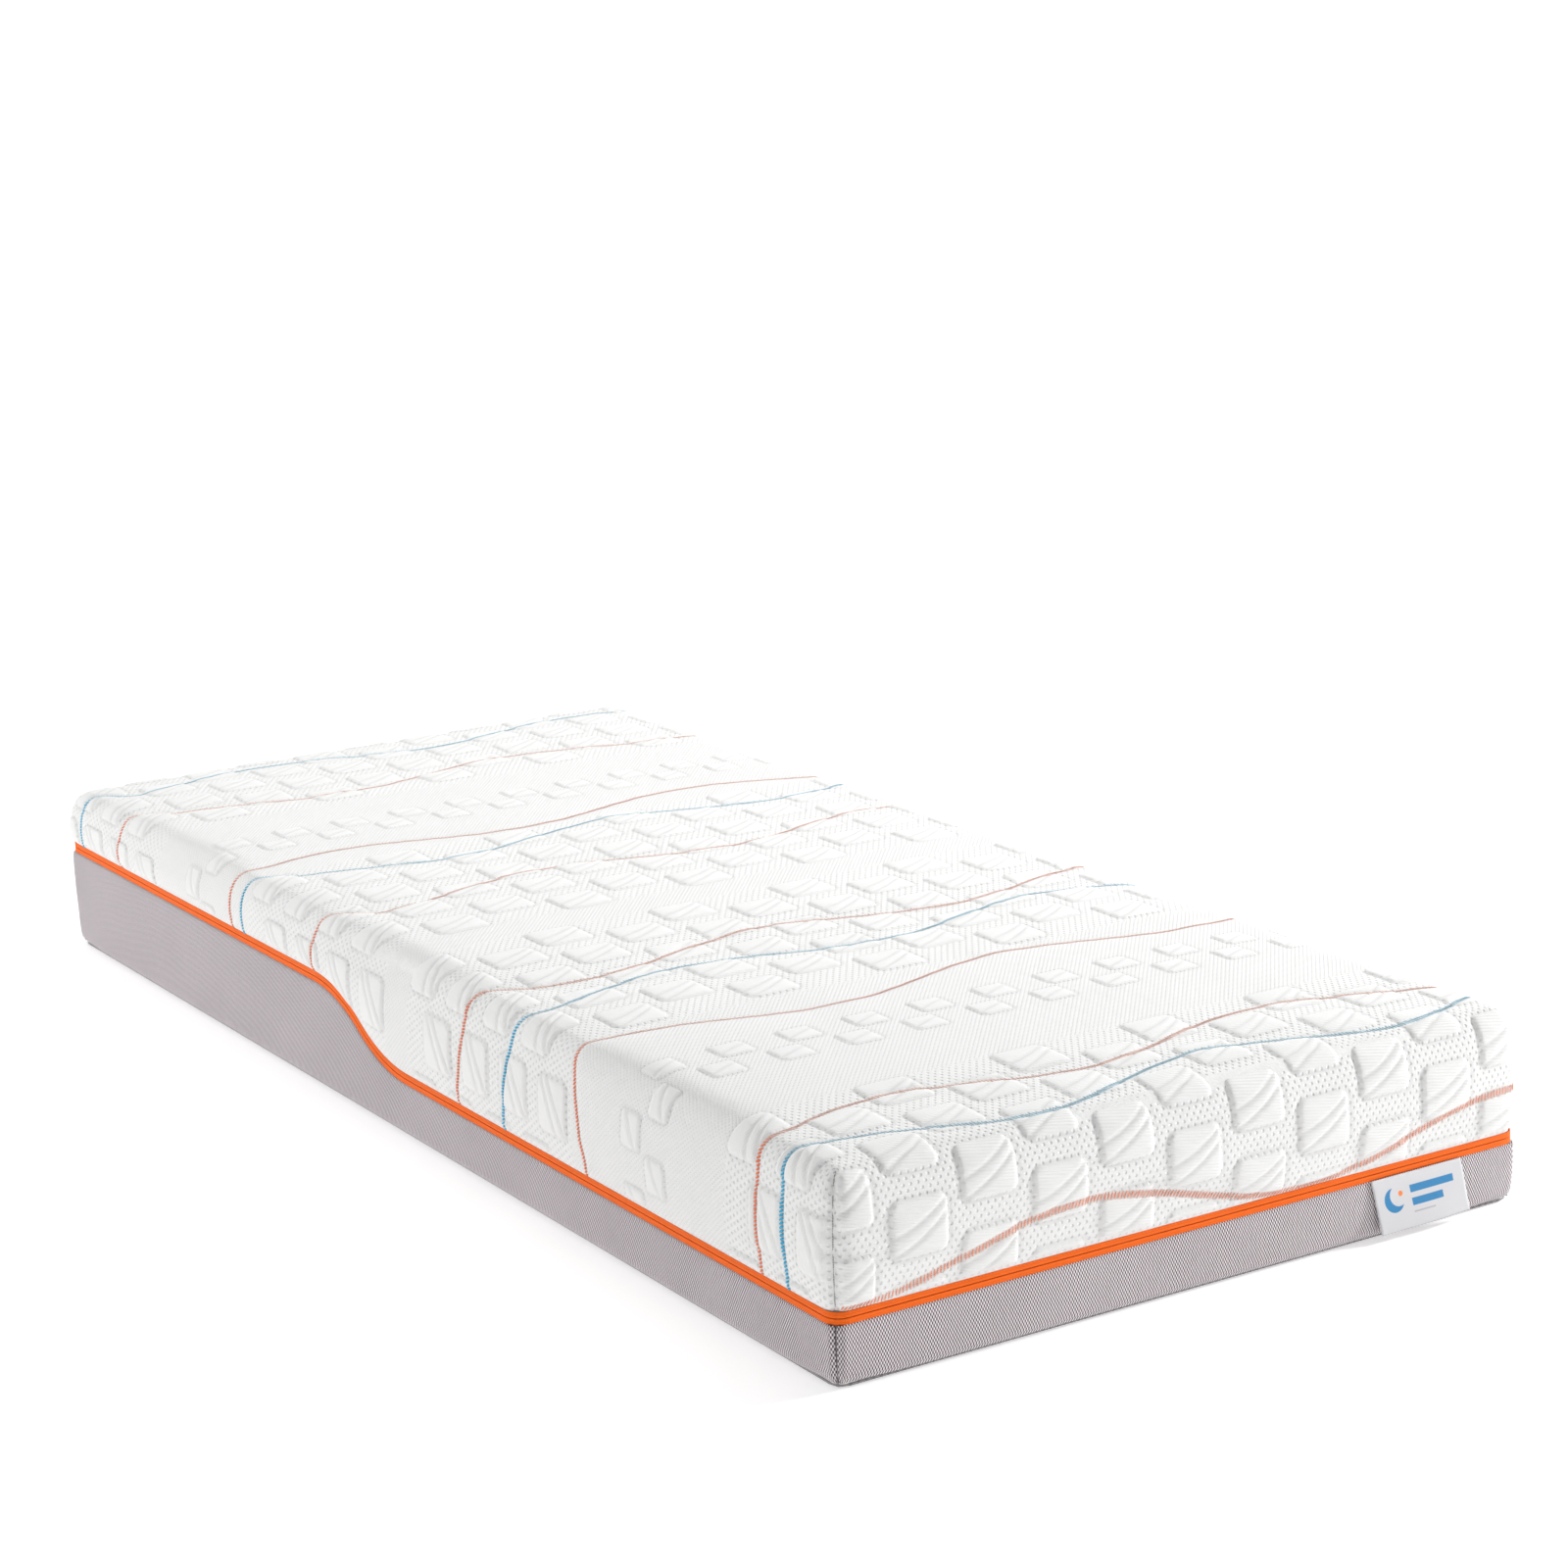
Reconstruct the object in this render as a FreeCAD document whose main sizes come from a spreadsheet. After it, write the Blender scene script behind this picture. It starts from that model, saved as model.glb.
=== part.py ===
import FreeCAD, Part

# Memory foam mattress: a foam core inside a two-part cover that is closed by a zip all round.
#
# Millimetres, +X across the width, +Y from the foot end to the head end, +Z up.
# The origin is the centre of the underside.


import math
import os

import Sketcher
from FreeCAD import Vector

doc = FreeCAD.newDocument("mattress")

# ---------------------------------------------------------------- driving dimensions
SIZES = {
    # overall
    "mattress_length": 2000,
    "mattress_width": 900,
    "mattress_height": 230,
    "plan_corner_radius": 18,
    "top_edge_radius": 24,
    "bottom_edge_radius": 5,
    # upper cover, from the outside in
    "fabric_thickness": 1.5,
    "wadding_thickness": 4,
    "lining_thickness": 0.5,
    # lower cover
    "border_thickness": 6,
    "base_panel_thickness": 3,
    # zip: its centre line is high at the head, low at the foot, with an S-bend on each long side
    "zip_head_height": 144.5,
    "zip_foot_height": 75,
    "zip_bend_start": 185,
    "zip_bend_end": -65,
    "tape_recess": 0.8,
    "tape_thickness": 1,
    "tape_width": 6,
    "teeth_gap": 1.6,
    "coil_height": 2.6,
    "coil_depth": 2,
    # foam core
    "cover_fit": 0.5,
    "core_rest_gap": 0.3,
    "memory_thickness": 55,
    "comfort_thickness": 30,
    "slot_width": 4,
    "slot_depth": 35,
    "slot_pitch": 60,
    "leg_slot_count": 10,
    "leg_slot_start": -250,
    "head_slot_count": 3,
    "head_slot_start": 820,
    "channel_width": 10,
    "channel_depth": 8,
    "channel_pitch": 60,
    "channel_end_margin": 100,
    "shoulder_insert_length": 260,
    "shoulder_insert_depth": 60,
    "shoulder_insert_centre": 480,
    "hip_insert_length": 200,
    "hip_insert_depth": 40,
    "hip_insert_centre": -60,
    # zip slider and pull, on the head end
    "slider_clearance": 0.2,
    "slider_length": 11,
    "slider_height": 9,
    "slider_plate": 1.2,
    "slider_park": 100,
    "neck_length": 3,
    "neck_height": 1,
    "lip_height": 0.8,
    "bail_length": 7,
    "bail_width": 2,
    "bail_bar": 1,
    "bail_opening": 2.4,
    "pull_length": 30,
    "pull_width": 9,
    "pull_thickness": 1.4,
    "pull_pin_radius": 0.8,
    "pull_window_reach": 5,
    "pull_window_width": 3.6,
    "pull_corner_radius": 3,
    # small textile pieces
    "end_tab_length": 14,
    "end_tab_margin": 48,
    "end_tab_thickness": 0.8,
    "label_width": 128,
    "label_thickness": 0.8,
    "label_centre": 301,
    "label_floor_clearance": 8,
    "label_gap": 0.4,
}

sheet = doc.addObject("Spreadsheet::Sheet", "sizes")
for row, (alias, value) in enumerate(SIZES.items(), start=1):
    sheet.set(f"A{row}", alias)
    sheet.set(f"B{row}", str(value))
    sheet.setAlias(f"B{row}", alias)
doc.recompute()


def size(alias):
    """The number in a cell, for first guesses in sketches."""
    return float(sheet.get(alias))


# ---------------------------------------------------------------- sizes that follow from the cells
LENGTH = "sizes.mattress_length"
WIDTH = "sizes.mattress_width"
HEIGHT = "sizes.mattress_height"
COVER_WALL = "(sizes.fabric_thickness + sizes.wadding_thickness + sizes.lining_thickness)"
CORE_INSET = f"(max(sizes.border_thickness; {COVER_WALL}) + sizes.cover_fit)"
CORE_BOTTOM = "(sizes.base_panel_thickness + sizes.core_rest_gap)"
MEMORY_TOP = f"({HEIGHT} - {COVER_WALL} - sizes.cover_fit)"
COMFORT_TOP = f"({MEMORY_TOP} - sizes.memory_thickness)"
BASE_TOP = f"({COMFORT_TOP} - sizes.comfort_thickness)"
# heights above and below the zip's centre line
TEETH_EDGE = "(sizes.teeth_gap / 2)"
COIL_EDGE = f"({TEETH_EDGE} + sizes.coil_height)"
TAPE_EDGE = f"({TEETH_EDGE} + sizes.tape_width)"
# depths behind the cover's outer face
TAPE_BACK = "(sizes.tape_recess + sizes.tape_thickness)"
COIL_BACK = f"({TAPE_BACK} + sizes.coil_depth)"
# how far the slider's faces lie behind the cover's outer face
PLATE_BACK = "(sizes.tape_recess - sizes.slider_clearance)"
PLATE_FRONT = f"({PLATE_BACK} - sizes.slider_plate)"
WING_FRONT = f"({COIL_BACK} + sizes.slider_clearance)"
WING_BACK = f"({WING_FRONT} + sizes.slider_plate)"
SLIDER_X = f"({WIDTH} / 2 - sizes.slider_park)"
PULL_AXIS_Y = f"({LENGTH} / 2 - {PLATE_FRONT} + sizes.bail_opening / 2)"


# ---------------------------------------------------------------- helpers
def bind(obj, **expressions):
    for path, expression in expressions.items():
        obj.setExpression(path.replace("__", "."), expression)


def place(obj, x="0", y="0", z="0"):
    bind(obj, Placement__Base__x=x, Placement__Base__y=y, Placement__Base__z=z)


def edges_along(shape, axis, accept=lambda centre: True):
    """Names of the straight edges parallel to an axis whose centre is accepted."""
    names = []
    for number, edge in enumerate(shape.Edges, start=1):
        if len(edge.Vertexes) == 2 and edge.Curve.TypeId == "Part::GeomLine":
            direction = edge.Vertexes[1].Point - edge.Vertexes[0].Point
            if direction.normalize().cross(axis).Length < 1e-6 and accept(edge.CenterOfMass):
                names.append(f"Edge{number}")
    return names


def block(name, x, y, z, length, width, height, rounded=()):
    """A box whose corner is at x, y, z; rounded lists (axis, radius, accepted edges)."""
    body = doc.addObject("PartDesign::Body", name)
    solid = body.newObject("PartDesign::AdditiveBox", name + "_box")
    bind(solid, Length=length, Width=width, Height=height)
    place(body, x, y, z)
    doc.recompute()
    for axis, radius, accept in rounded:
        fillet = body.newObject("PartDesign::Fillet", name + "_round")
        fillet.Base = (solid, edges_along(solid.Shape, axis, accept))
        bind(fillet, Radius=radius)
        doc.recompute()
        solid = fillet
    return body


def cut(name, base, tool):
    result = doc.addObject("Part::Cut", name)
    result.Base = base
    result.Tool = tool
    return result


def common(name, *shapes):
    result = doc.addObject("Part::MultiCommon", name)
    result.Shapes = list(shapes)
    return result


def fuse(name, *shapes):
    result = doc.addObject("Part::MultiFuse", name)
    result.Shapes = list(shapes)
    return result


X_AXIS = Vector(1, 0, 0)
Y_AXIS = Vector(0, 1, 0)
Z_AXIS = Vector(0, 0, 1)


def everywhere(centre):
    return True


def upper_edge(centre):
    return centre.z > 1


def lower_edge(centre):
    return centre.z < 1


def plan_prism(name, inset, bottom="0", top=HEIGHT):
    """An upright prism with the mattress's outline, moved in by an inset."""
    return block(
        name,
        f"-{WIDTH} / 2 + {inset}", f"-{LENGTH} / 2 + {inset}", bottom,
        f"{WIDTH} - 2 * {inset}", f"{LENGTH} - 2 * {inset}", f"{top} - {bottom}",
        rounded=[(Z_AXIS, f"sizes.plan_corner_radius - {inset}", everywhere)],
    )


def cushion(name, inset, bottom_radius=None):
    """The mattress's outer form moved in by an inset: upright corners, rounded top edges."""
    top = f"({HEIGHT} - {inset})"
    parts = [plan_prism(name + "_plan", inset, top=top)]
    for axis, tag in ((X_AXIS, "across"), (Y_AXIS, "along")):
        rounded = [(axis, f"sizes.top_edge_radius - {inset}", upper_edge)]
        if bottom_radius:
            rounded.append((axis, bottom_radius, lower_edge))
        parts.append(block(
            f"{name}_{tag}",
            f"-{WIDTH} / 2 + {inset}", f"-{LENGTH} / 2 + {inset}", "0",
            f"{WIDTH} - 2 * {inset}", f"{LENGTH} - 2 * {inset}", top,
            rounded=rounded,
        ))
    return common(name, *parts)


def below_zip(name, offset):
    """Everything below the zip's centre line moved up by an offset: a pad across the width."""
    body = doc.addObject("PartDesign::Body", name)
    sketch = body.newObject("Sketcher::SketchObject", name + "_line")
    plane = [f for f in body.Origin.OriginFeatures if f.Role == "YZ_Plane"][0]
    sketch.AttachmentSupport = (plane, "")
    sketch.MapMode = "FlatFace"
    margin = 100.0
    far = size("mattress_length") / 2 + margin
    high, low = size("zip_head_height"), size("zip_foot_height")
    start, end = size("zip_bend_start"), size("zip_bend_end")
    drop, run = high - low, start - end
    radius = (run ** 2 + drop ** 2) / (4 * drop)
    middle = ((start + end) / 2, (high + low) / 2)
    turn = 2 * math.atan2(drop, run)
    corners = [(-far, low), (-far, -margin), (far, -margin), (far, high), (start, high)]
    points = [Vector(y, z, 0) for y, z in corners]
    sides = [sketch.addGeometry(Part.LineSegment(a, b)) for a, b in zip(points, points[1:])]
    head_circle = Part.Circle(Vector(start, high - radius, 0), Z_AXIS, radius)
    foot_circle = Part.Circle(Vector(end, low + radius, 0), Z_AXIS, radius)
    head_arc = sketch.addGeometry(Part.ArcOfCircle(head_circle, math.pi / 2, math.pi / 2 + turn))
    foot_arc = sketch.addGeometry(
        Part.ArcOfCircle(foot_circle, 1.5 * math.pi, 1.5 * math.pi + turn))
    foot_line = sketch.addGeometry(Part.LineSegment(Vector(end, low, 0), points[0]))
    left, bottom, right, head_line = sides

    def constrain(kind, *items):
        return sketch.addConstraint(Sketcher.Constraint(kind, *items))

    def measure(kind, items, guess, expression):
        number = constrain(kind, *items, guess)
        sketch.setExpression(f"Constraints[{number}]", expression)

    constrain("Coincident", left, 2, bottom, 1)
    constrain("Coincident", bottom, 2, right, 1)
    constrain("Coincident", right, 2, head_line, 1)
    constrain("Coincident", foot_line, 2, left, 1)
    constrain("Tangent", head_line, 2, head_arc, 1)
    constrain("Tangent", head_arc, 2, foot_arc, 2)
    constrain("Tangent", foot_arc, 1, foot_line, 1)
    constrain("Equal", head_arc, foot_arc)
    for line in (bottom, head_line, foot_line):
        constrain("Horizontal", line)
    for line in (left, right):
        constrain("Vertical", line)
    origin = (-1, 1)
    measure("DistanceX", (bottom, 1, *origin), far, f"{LENGTH} / 2 + {margin}")
    measure("DistanceX", (*origin, bottom, 2), far, f"{LENGTH} / 2 + {margin}")
    measure("DistanceY", (bottom, 1, *origin), margin, f"{margin}")
    measure("DistanceY", (*origin, head_line, 2), high, f"sizes.zip_head_height + {offset}")
    measure("DistanceY", (*origin, foot_line, 1), low, f"sizes.zip_foot_height + {offset}")
    measure("DistanceX", (*origin, head_line, 2), start, "sizes.zip_bend_start")
    measure("DistanceX", (foot_line, 1, *origin), -end, "-sizes.zip_bend_end")
    doc.recompute()
    pad = body.newObject("PartDesign::Pad", name + "_pad")
    pad.Profile = sketch
    pad.Midplane = True
    bind(pad, Length=f"{WIDTH} + 2 * {margin}")
    return body


def ring(name, outer_inset, inner_inset, upper_zone, lower_zone):
    """An upright band between two insets and two heights that follow the zip."""
    wall = cut(
        name + "_wall",
        plan_prism(name + "_outer", outer_inset),
        plan_prism(name + "_inner", inner_inset),
    )
    return cut(name, common(name + "_top", wall, upper_zone), lower_zone)


# ---------------------------------------------------------------- the mattress's form and the zip's line
outer_form = cushion("outer_form", "0", bottom_radius="sizes.bottom_edge_radius")
fabric_back = cushion("fabric_back", "sizes.fabric_thickness")
wadding_back = cushion("wadding_back", "(sizes.fabric_thickness + sizes.wadding_thickness)")
cover_inside = cushion("cover_inside", COVER_WALL)

border_line = below_zip("border_line", f"-{TAPE_EDGE}")
lower_coil_line = below_zip("lower_coil_line", f"-{COIL_EDGE}")
lower_teeth_line = below_zip("lower_teeth_line", f"-{TEETH_EDGE}")
upper_teeth_line = below_zip("upper_teeth_line", TEETH_EDGE)
upper_coil_line = below_zip("upper_coil_line", COIL_EDGE)
cover_line = below_zip("cover_line", TAPE_EDGE)

# ---------------------------------------------------------------- upper cover: quilted double knit
top_fabric = cut("top_cover_fabric", cut("fabric_shell", outer_form, fabric_back), cover_line)
top_wadding = cut("top_cover_wadding", cut("wadding_shell", fabric_back, wadding_back), cover_line)
top_lining = cut("top_cover_lining", cut("lining_shell", wadding_back, cover_inside), cover_line)

# ---------------------------------------------------------------- zip: two tapes, two rows of coil
tape_lower = ring("zip_tape_lower", "sizes.tape_recess", TAPE_BACK, lower_teeth_line, border_line)
coil_lower = ring("zip_coil_lower", TAPE_BACK, COIL_BACK, lower_teeth_line, lower_coil_line)
tape_upper = ring("zip_tape_upper", "sizes.tape_recess", TAPE_BACK, cover_line, upper_teeth_line)
coil_upper = ring("zip_coil_upper", TAPE_BACK, COIL_BACK, upper_coil_line, upper_teeth_line)

# ---------------------------------------------------------------- lower cover: a tray of spacer mesh
border_ring = cut(
    "border_ring",
    common("border_form", outer_form, border_line),
    plan_prism("border_inside", "sizes.border_thickness"),
)


def end_wedge(name, sign):
    """The part of the plan that belongs to an end panel: its edges run at 45 degrees."""
    body = doc.addObject("PartDesign::Body", name)
    sketch = body.newObject("Sketcher::SketchObject", name + "_outline")
    plane = [f for f in body.Origin.OriginFeatures if f.Role == "XY_Plane"][0]
    sketch.AttachmentSupport = (plane, "")
    sketch.MapMode = "FlatFace"
    tip = sign * (size("mattress_length") - size("mattress_width")) / 2
    reach = 100.0
    half = size("mattress_width") / 2 + reach
    base = tip + sign * half
    points = [Vector(0, tip, 0), Vector(half, base, 0), Vector(-half, base, 0)]
    lines = [
        sketch.addGeometry(Part.LineSegment(a, b))
        for a, b in zip(points, points[1:] + points[:1])
    ]
    for number, line in enumerate(lines):
        following = lines[(number + 1) % len(lines)]
        sketch.addConstraint(Sketcher.Constraint("Coincident", line, 2, following, 1))
    sketch.addConstraint(Sketcher.Constraint("PointOnObject", lines[0], 1, -2))
    sketch.addConstraint(Sketcher.Constraint("Horizontal", lines[1]))
    sketch.addConstraint(Sketcher.Constraint("Perpendicular", lines[0], lines[2]))
    sketch.addConstraint(Sketcher.Constraint("Equal", lines[0], lines[2]))
    origin, apex = (-1, 1), (lines[0], 1)
    first, second = (origin, apex) if sign > 0 else (apex, origin)
    number = sketch.addConstraint(Sketcher.Constraint("DistanceY", *first, *second, abs(tip)))
    sketch.setExpression(f"Constraints[{number}]", f"({LENGTH} - {WIDTH}) / 2")
    number = sketch.addConstraint(
        Sketcher.Constraint("DistanceX", *origin, lines[0], 2, half))
    sketch.setExpression(f"Constraints[{number}]", f"{WIDTH} / 2 + {reach}")
    doc.recompute()
    pad = body.newObject("PartDesign::Pad", name + "_pad")
    pad.Profile = sketch
    bind(pad, Length=HEIGHT)
    return body


head_wedge = end_wedge("head_wedge", 1)
foot_wedge = end_wedge("foot_wedge", -1)
border_head = common("border_head", border_ring, head_wedge)
border_foot = common("border_foot", border_ring, foot_wedge)
border_sides = cut("border_sides", cut("border_no_head", border_ring, head_wedge), foot_wedge)


def half_space(name, x):
    return block(name, x, f"-{LENGTH} / 2", "0", f"{WIDTH} / 2", LENGTH, HEIGHT)


border_left = common("border_left", border_sides, half_space("left_half", f"-{WIDTH} / 2"))
border_right = common("border_right", border_sides, half_space("right_half", "0"))
base_panel = plan_prism("base_panel", "sizes.border_thickness", top="sizes.base_panel_thickness")


# ---------------------------------------------------------------- foam core
def cross_cuts(body, name, first_y, width, depth, bottom, count, pitch):
    """A row of straight cuts across the foam, each a box, repeated towards the foot."""
    first = body.newObject("PartDesign::SubtractiveBox", name)
    bind(first, Length=WIDTH, Width=width, Height=depth)
    place(first, "0", f"{first_y} - {width} / 2 + {LENGTH} / 2 - {CORE_INSET}", bottom)
    doc.recompute()
    row = body.newObject("PartDesign::LinearPattern", name + "_row")
    row.Originals = [first]
    axis = [f for f in body.Origin.OriginFeatures if f.Role == "Y_Axis"][0]
    row.Direction = (axis, [""])
    row.Reversed = True
    bind(row, Occurrences=count, Length=f"({count} - 1) * {pitch}")
    body.Tip = row
    doc.recompute()


core_base = plan_prism("core_base", CORE_INSET, bottom=CORE_BOTTOM, top=BASE_TOP)
CORE_HEIGHT = f"({BASE_TOP} - {CORE_BOTTOM})"
for name, first_y, count in (
    ("head_slots", "sizes.head_slot_start", "sizes.head_slot_count"),
    ("leg_slots", "sizes.leg_slot_start", "sizes.leg_slot_count"),
):
    cross_cuts(core_base, name, first_y, "sizes.slot_width", "sizes.slot_depth",
               f"{CORE_HEIGHT} - sizes.slot_depth", count, "sizes.slot_pitch")
for zone in ("shoulder", "hip"):
    pocket = core_base.newObject("PartDesign::SubtractiveBox", zone + "_pocket")
    bind(pocket, Length=WIDTH, Width=f"sizes.{zone}_insert_length",
         Height=f"sizes.{zone}_insert_depth")
    place(pocket, "0",
          f"sizes.{zone}_insert_centre - sizes.{zone}_insert_length / 2 + {LENGTH} / 2"
          f" - {CORE_INSET}",
          f"{CORE_HEIGHT} - sizes.{zone}_insert_depth")
    core_base.Tip = pocket
    doc.recompute()


def foam_insert(zone):
    return block(
        zone + "_insert",
        f"-{WIDTH} / 2 + {CORE_INSET}",
        f"sizes.{zone}_insert_centre - sizes.{zone}_insert_length / 2",
        f"{BASE_TOP} - sizes.{zone}_insert_depth",
        f"{WIDTH} - 2 * {CORE_INSET}",
        f"sizes.{zone}_insert_length",
        f"sizes.{zone}_insert_depth",
    )


shoulder_insert = foam_insert("shoulder")
hip_insert = foam_insert("hip")

comfort_layer = plan_prism("comfort_layer", CORE_INSET, bottom=BASE_TOP, top=COMFORT_TOP)
CHANNEL_COUNT = (
    f"(floor(({LENGTH} - 2 * sizes.channel_end_margin) / sizes.channel_pitch) + 1)"
)
cross_cuts(comfort_layer, "channels", f"({LENGTH} / 2 - sizes.channel_end_margin)",
           "sizes.channel_width", "sizes.channel_depth", "0", CHANNEL_COUNT,
           "sizes.channel_pitch")

core_form = cushion("core_form", CORE_INSET)
under_memory = block("under_memory", f"-{WIDTH} / 2", f"-{LENGTH} / 2", "0",
                     WIDTH, LENGTH, COMFORT_TOP)
memory_layer = cut("memory_foam_layer", core_form, under_memory)

# ---------------------------------------------------------------- zip slider
PLATE_CORNER = "sizes.slider_plate"


def slider_block(name, x0, depth_front, depth_back, z0, length, height, rounded=()):
    """A box on the slider: depths are measured back from the cover's outer face."""
    return block(
        name,
        f"{SLIDER_X} + {x0}", f"{LENGTH} / 2 - {depth_back}", f"sizes.zip_head_height + {z0}",
        length, f"{depth_back} - {depth_front}", height, rounded,
    )


def bail_side(name, x0):
    return slider_block(
        name, x0, f"({PLATE_FRONT} - sizes.bail_opening)", PLATE_FRONT,
        "-sizes.bail_width / 2", "sizes.bail_bar", "sizes.bail_width",
    )


LIP_BOTTOM = f"(-{COIL_EDGE} - sizes.slider_clearance - sizes.lip_height)"
slider_pieces = [
    slider_block("slider_front_plate", "-sizes.slider_length / 2", PLATE_FRONT, PLATE_BACK,
                 "-sizes.slider_height / 2", "sizes.slider_length", "sizes.slider_height",
                 [(Y_AXIS, PLATE_CORNER, everywhere)]),
    slider_block("slider_wing", "-sizes.slider_length / 2", WING_FRONT, WING_BACK,
                 LIP_BOTTOM, "sizes.slider_length", f"{COIL_EDGE} - {LIP_BOTTOM}"),
    slider_block("slider_lip", "-sizes.slider_length / 2",
                 f"({TAPE_BACK} + sizes.slider_clearance)", WING_BACK,
                 LIP_BOTTOM, "sizes.slider_length", "sizes.lip_height"),
    slider_block("slider_neck", "-sizes.neck_length / 2", PLATE_BACK, WING_FRONT,
                 "-sizes.neck_height / 2", "sizes.neck_length", "sizes.neck_height"),
    bail_side("bail_side_in", "-sizes.bail_length / 2"),
    bail_side("bail_side_out", "sizes.bail_length / 2 - sizes.bail_bar"),
    slider_block("bail_bridge", "-sizes.bail_length / 2",
                 f"({PLATE_FRONT} - sizes.bail_opening - sizes.bail_bar)",
                 f"({PLATE_FRONT} - sizes.bail_opening)",
                 "-sizes.bail_width / 2", "sizes.bail_length", "sizes.bail_width"),
]
zip_slider = fuse("zip_slider", *slider_pieces)

# ---------------------------------------------------------------- zip pull, folded towards -X
pull_plate = block(
    "pull_plate",
    f"{SLIDER_X} - sizes.pull_length",
    f"{PULL_AXIS_Y} - sizes.pull_thickness / 2",
    "sizes.zip_head_height - sizes.pull_width / 2",
    "sizes.pull_length", "sizes.pull_thickness", "sizes.pull_width",
    [(Y_AXIS, "sizes.pull_corner_radius", lambda centre: centre.x < 1)],
)
pull_window = block(
    "pull_window",
    f"{SLIDER_X} - sizes.pull_window_reach",
    f"{PULL_AXIS_Y} - sizes.pull_thickness",
    "sizes.zip_head_height - sizes.pull_window_width / 2",
    "sizes.pull_window_reach * 2", "sizes.pull_thickness * 2", "sizes.pull_window_width",
)
pull_pin = doc.addObject("Part::Cylinder", "pull_pin")
bind(pull_pin, Radius="sizes.pull_pin_radius", Height="sizes.pull_width")
place(pull_pin, SLIDER_X, PULL_AXIS_Y, "sizes.zip_head_height - sizes.pull_width / 2")
zip_pull = fuse("zip_pull", cut("pull_frame", pull_plate, pull_window), pull_pin)

# ---------------------------------------------------------------- tab over the zip's two ends
zip_end_tab = block(
    "zip_end_tab",
    f"{WIDTH} / 2 - sizes.end_tab_margin",
    f"{LENGTH} / 2 - sizes.tape_recess",
    f"sizes.zip_head_height - {TAPE_EDGE}",
    "sizes.end_tab_length", "sizes.end_tab_thickness", f"2 * {TAPE_EDGE}",
)

# ---------------------------------------------------------------- label, sewn in below the zip
LABEL_TOP = f"(sizes.zip_foot_height - {TAPE_EDGE})"
label = block(
    "label",
    "sizes.label_centre - sizes.label_width / 2",
    f"-{LENGTH} / 2 - sizes.label_gap - sizes.label_thickness",
    "sizes.label_floor_clearance",
    "sizes.label_width", "sizes.label_thickness",
    f"{LABEL_TOP} - sizes.label_floor_clearance",
)

# ---------------------------------------------------------------- check and write
SUB_PARTS = [
    base_panel, border_left, border_right, border_foot, border_head,
    tape_lower, coil_lower, zip_end_tab,
    core_base, shoulder_insert, hip_insert, comfort_layer, memory_layer,
    top_fabric, top_wadding, top_lining, tape_upper, coil_upper,
    zip_slider, zip_pull, label,
]

doc.recompute()
for obj in doc.Objects:
    for problem in ("Invalid", "Error"):
        if problem in obj.State:
            raise RuntimeError(f"{obj.Label} is {problem}")
os.makedirs("parts", exist_ok=True)
for part in SUB_PARTS:
    part.Label = part.Name
    if part.Shape.isNull() or not part.Shape.isValid() or not part.Shape.Solids:
        raise RuntimeError(f"{part.Label} has no valid solid")
for part in SUB_PARTS:
    part.Shape.exportStep(f"parts/{part.Label}.step")
    box = part.Shape.BoundBox
    print(f"{part.Label:20s} solids {len(part.Shape.Solids)} volume {part.Shape.Volume:14.1f}"
          f"  x {box.XMin:.1f}..{box.XMax:.1f} y {box.YMin:.1f}..{box.YMax:.1f}"
          f" z {box.ZMin:.1f}..{box.ZMax:.1f}")
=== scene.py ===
import math

import bmesh
import bpy
import numpy as np
from mathutils import Matrix, Vector, noise
from mathutils.bvhtree import BVHTree
from mathutils.geometry import barycentric_transform


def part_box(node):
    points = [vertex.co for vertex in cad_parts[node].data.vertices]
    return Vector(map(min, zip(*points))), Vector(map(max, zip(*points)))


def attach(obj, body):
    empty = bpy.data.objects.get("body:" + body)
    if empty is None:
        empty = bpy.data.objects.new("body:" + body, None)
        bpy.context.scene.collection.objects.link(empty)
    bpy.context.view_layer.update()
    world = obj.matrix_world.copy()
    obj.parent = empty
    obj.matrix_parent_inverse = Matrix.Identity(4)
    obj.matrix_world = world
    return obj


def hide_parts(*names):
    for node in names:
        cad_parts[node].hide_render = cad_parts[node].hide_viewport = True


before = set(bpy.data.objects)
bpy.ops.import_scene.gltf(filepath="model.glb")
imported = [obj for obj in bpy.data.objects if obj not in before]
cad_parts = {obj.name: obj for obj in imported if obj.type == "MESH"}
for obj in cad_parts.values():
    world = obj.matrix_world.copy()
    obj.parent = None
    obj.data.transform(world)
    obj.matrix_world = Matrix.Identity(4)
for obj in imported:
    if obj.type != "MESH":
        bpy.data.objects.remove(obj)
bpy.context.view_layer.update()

scene = bpy.context.scene


# ---- Base panel ----
# The underside of the zip-off cover: a plain grey non-slip knit, one cut piece with
# rounded corners, sewn all round to the lower edge of the border.

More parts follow.
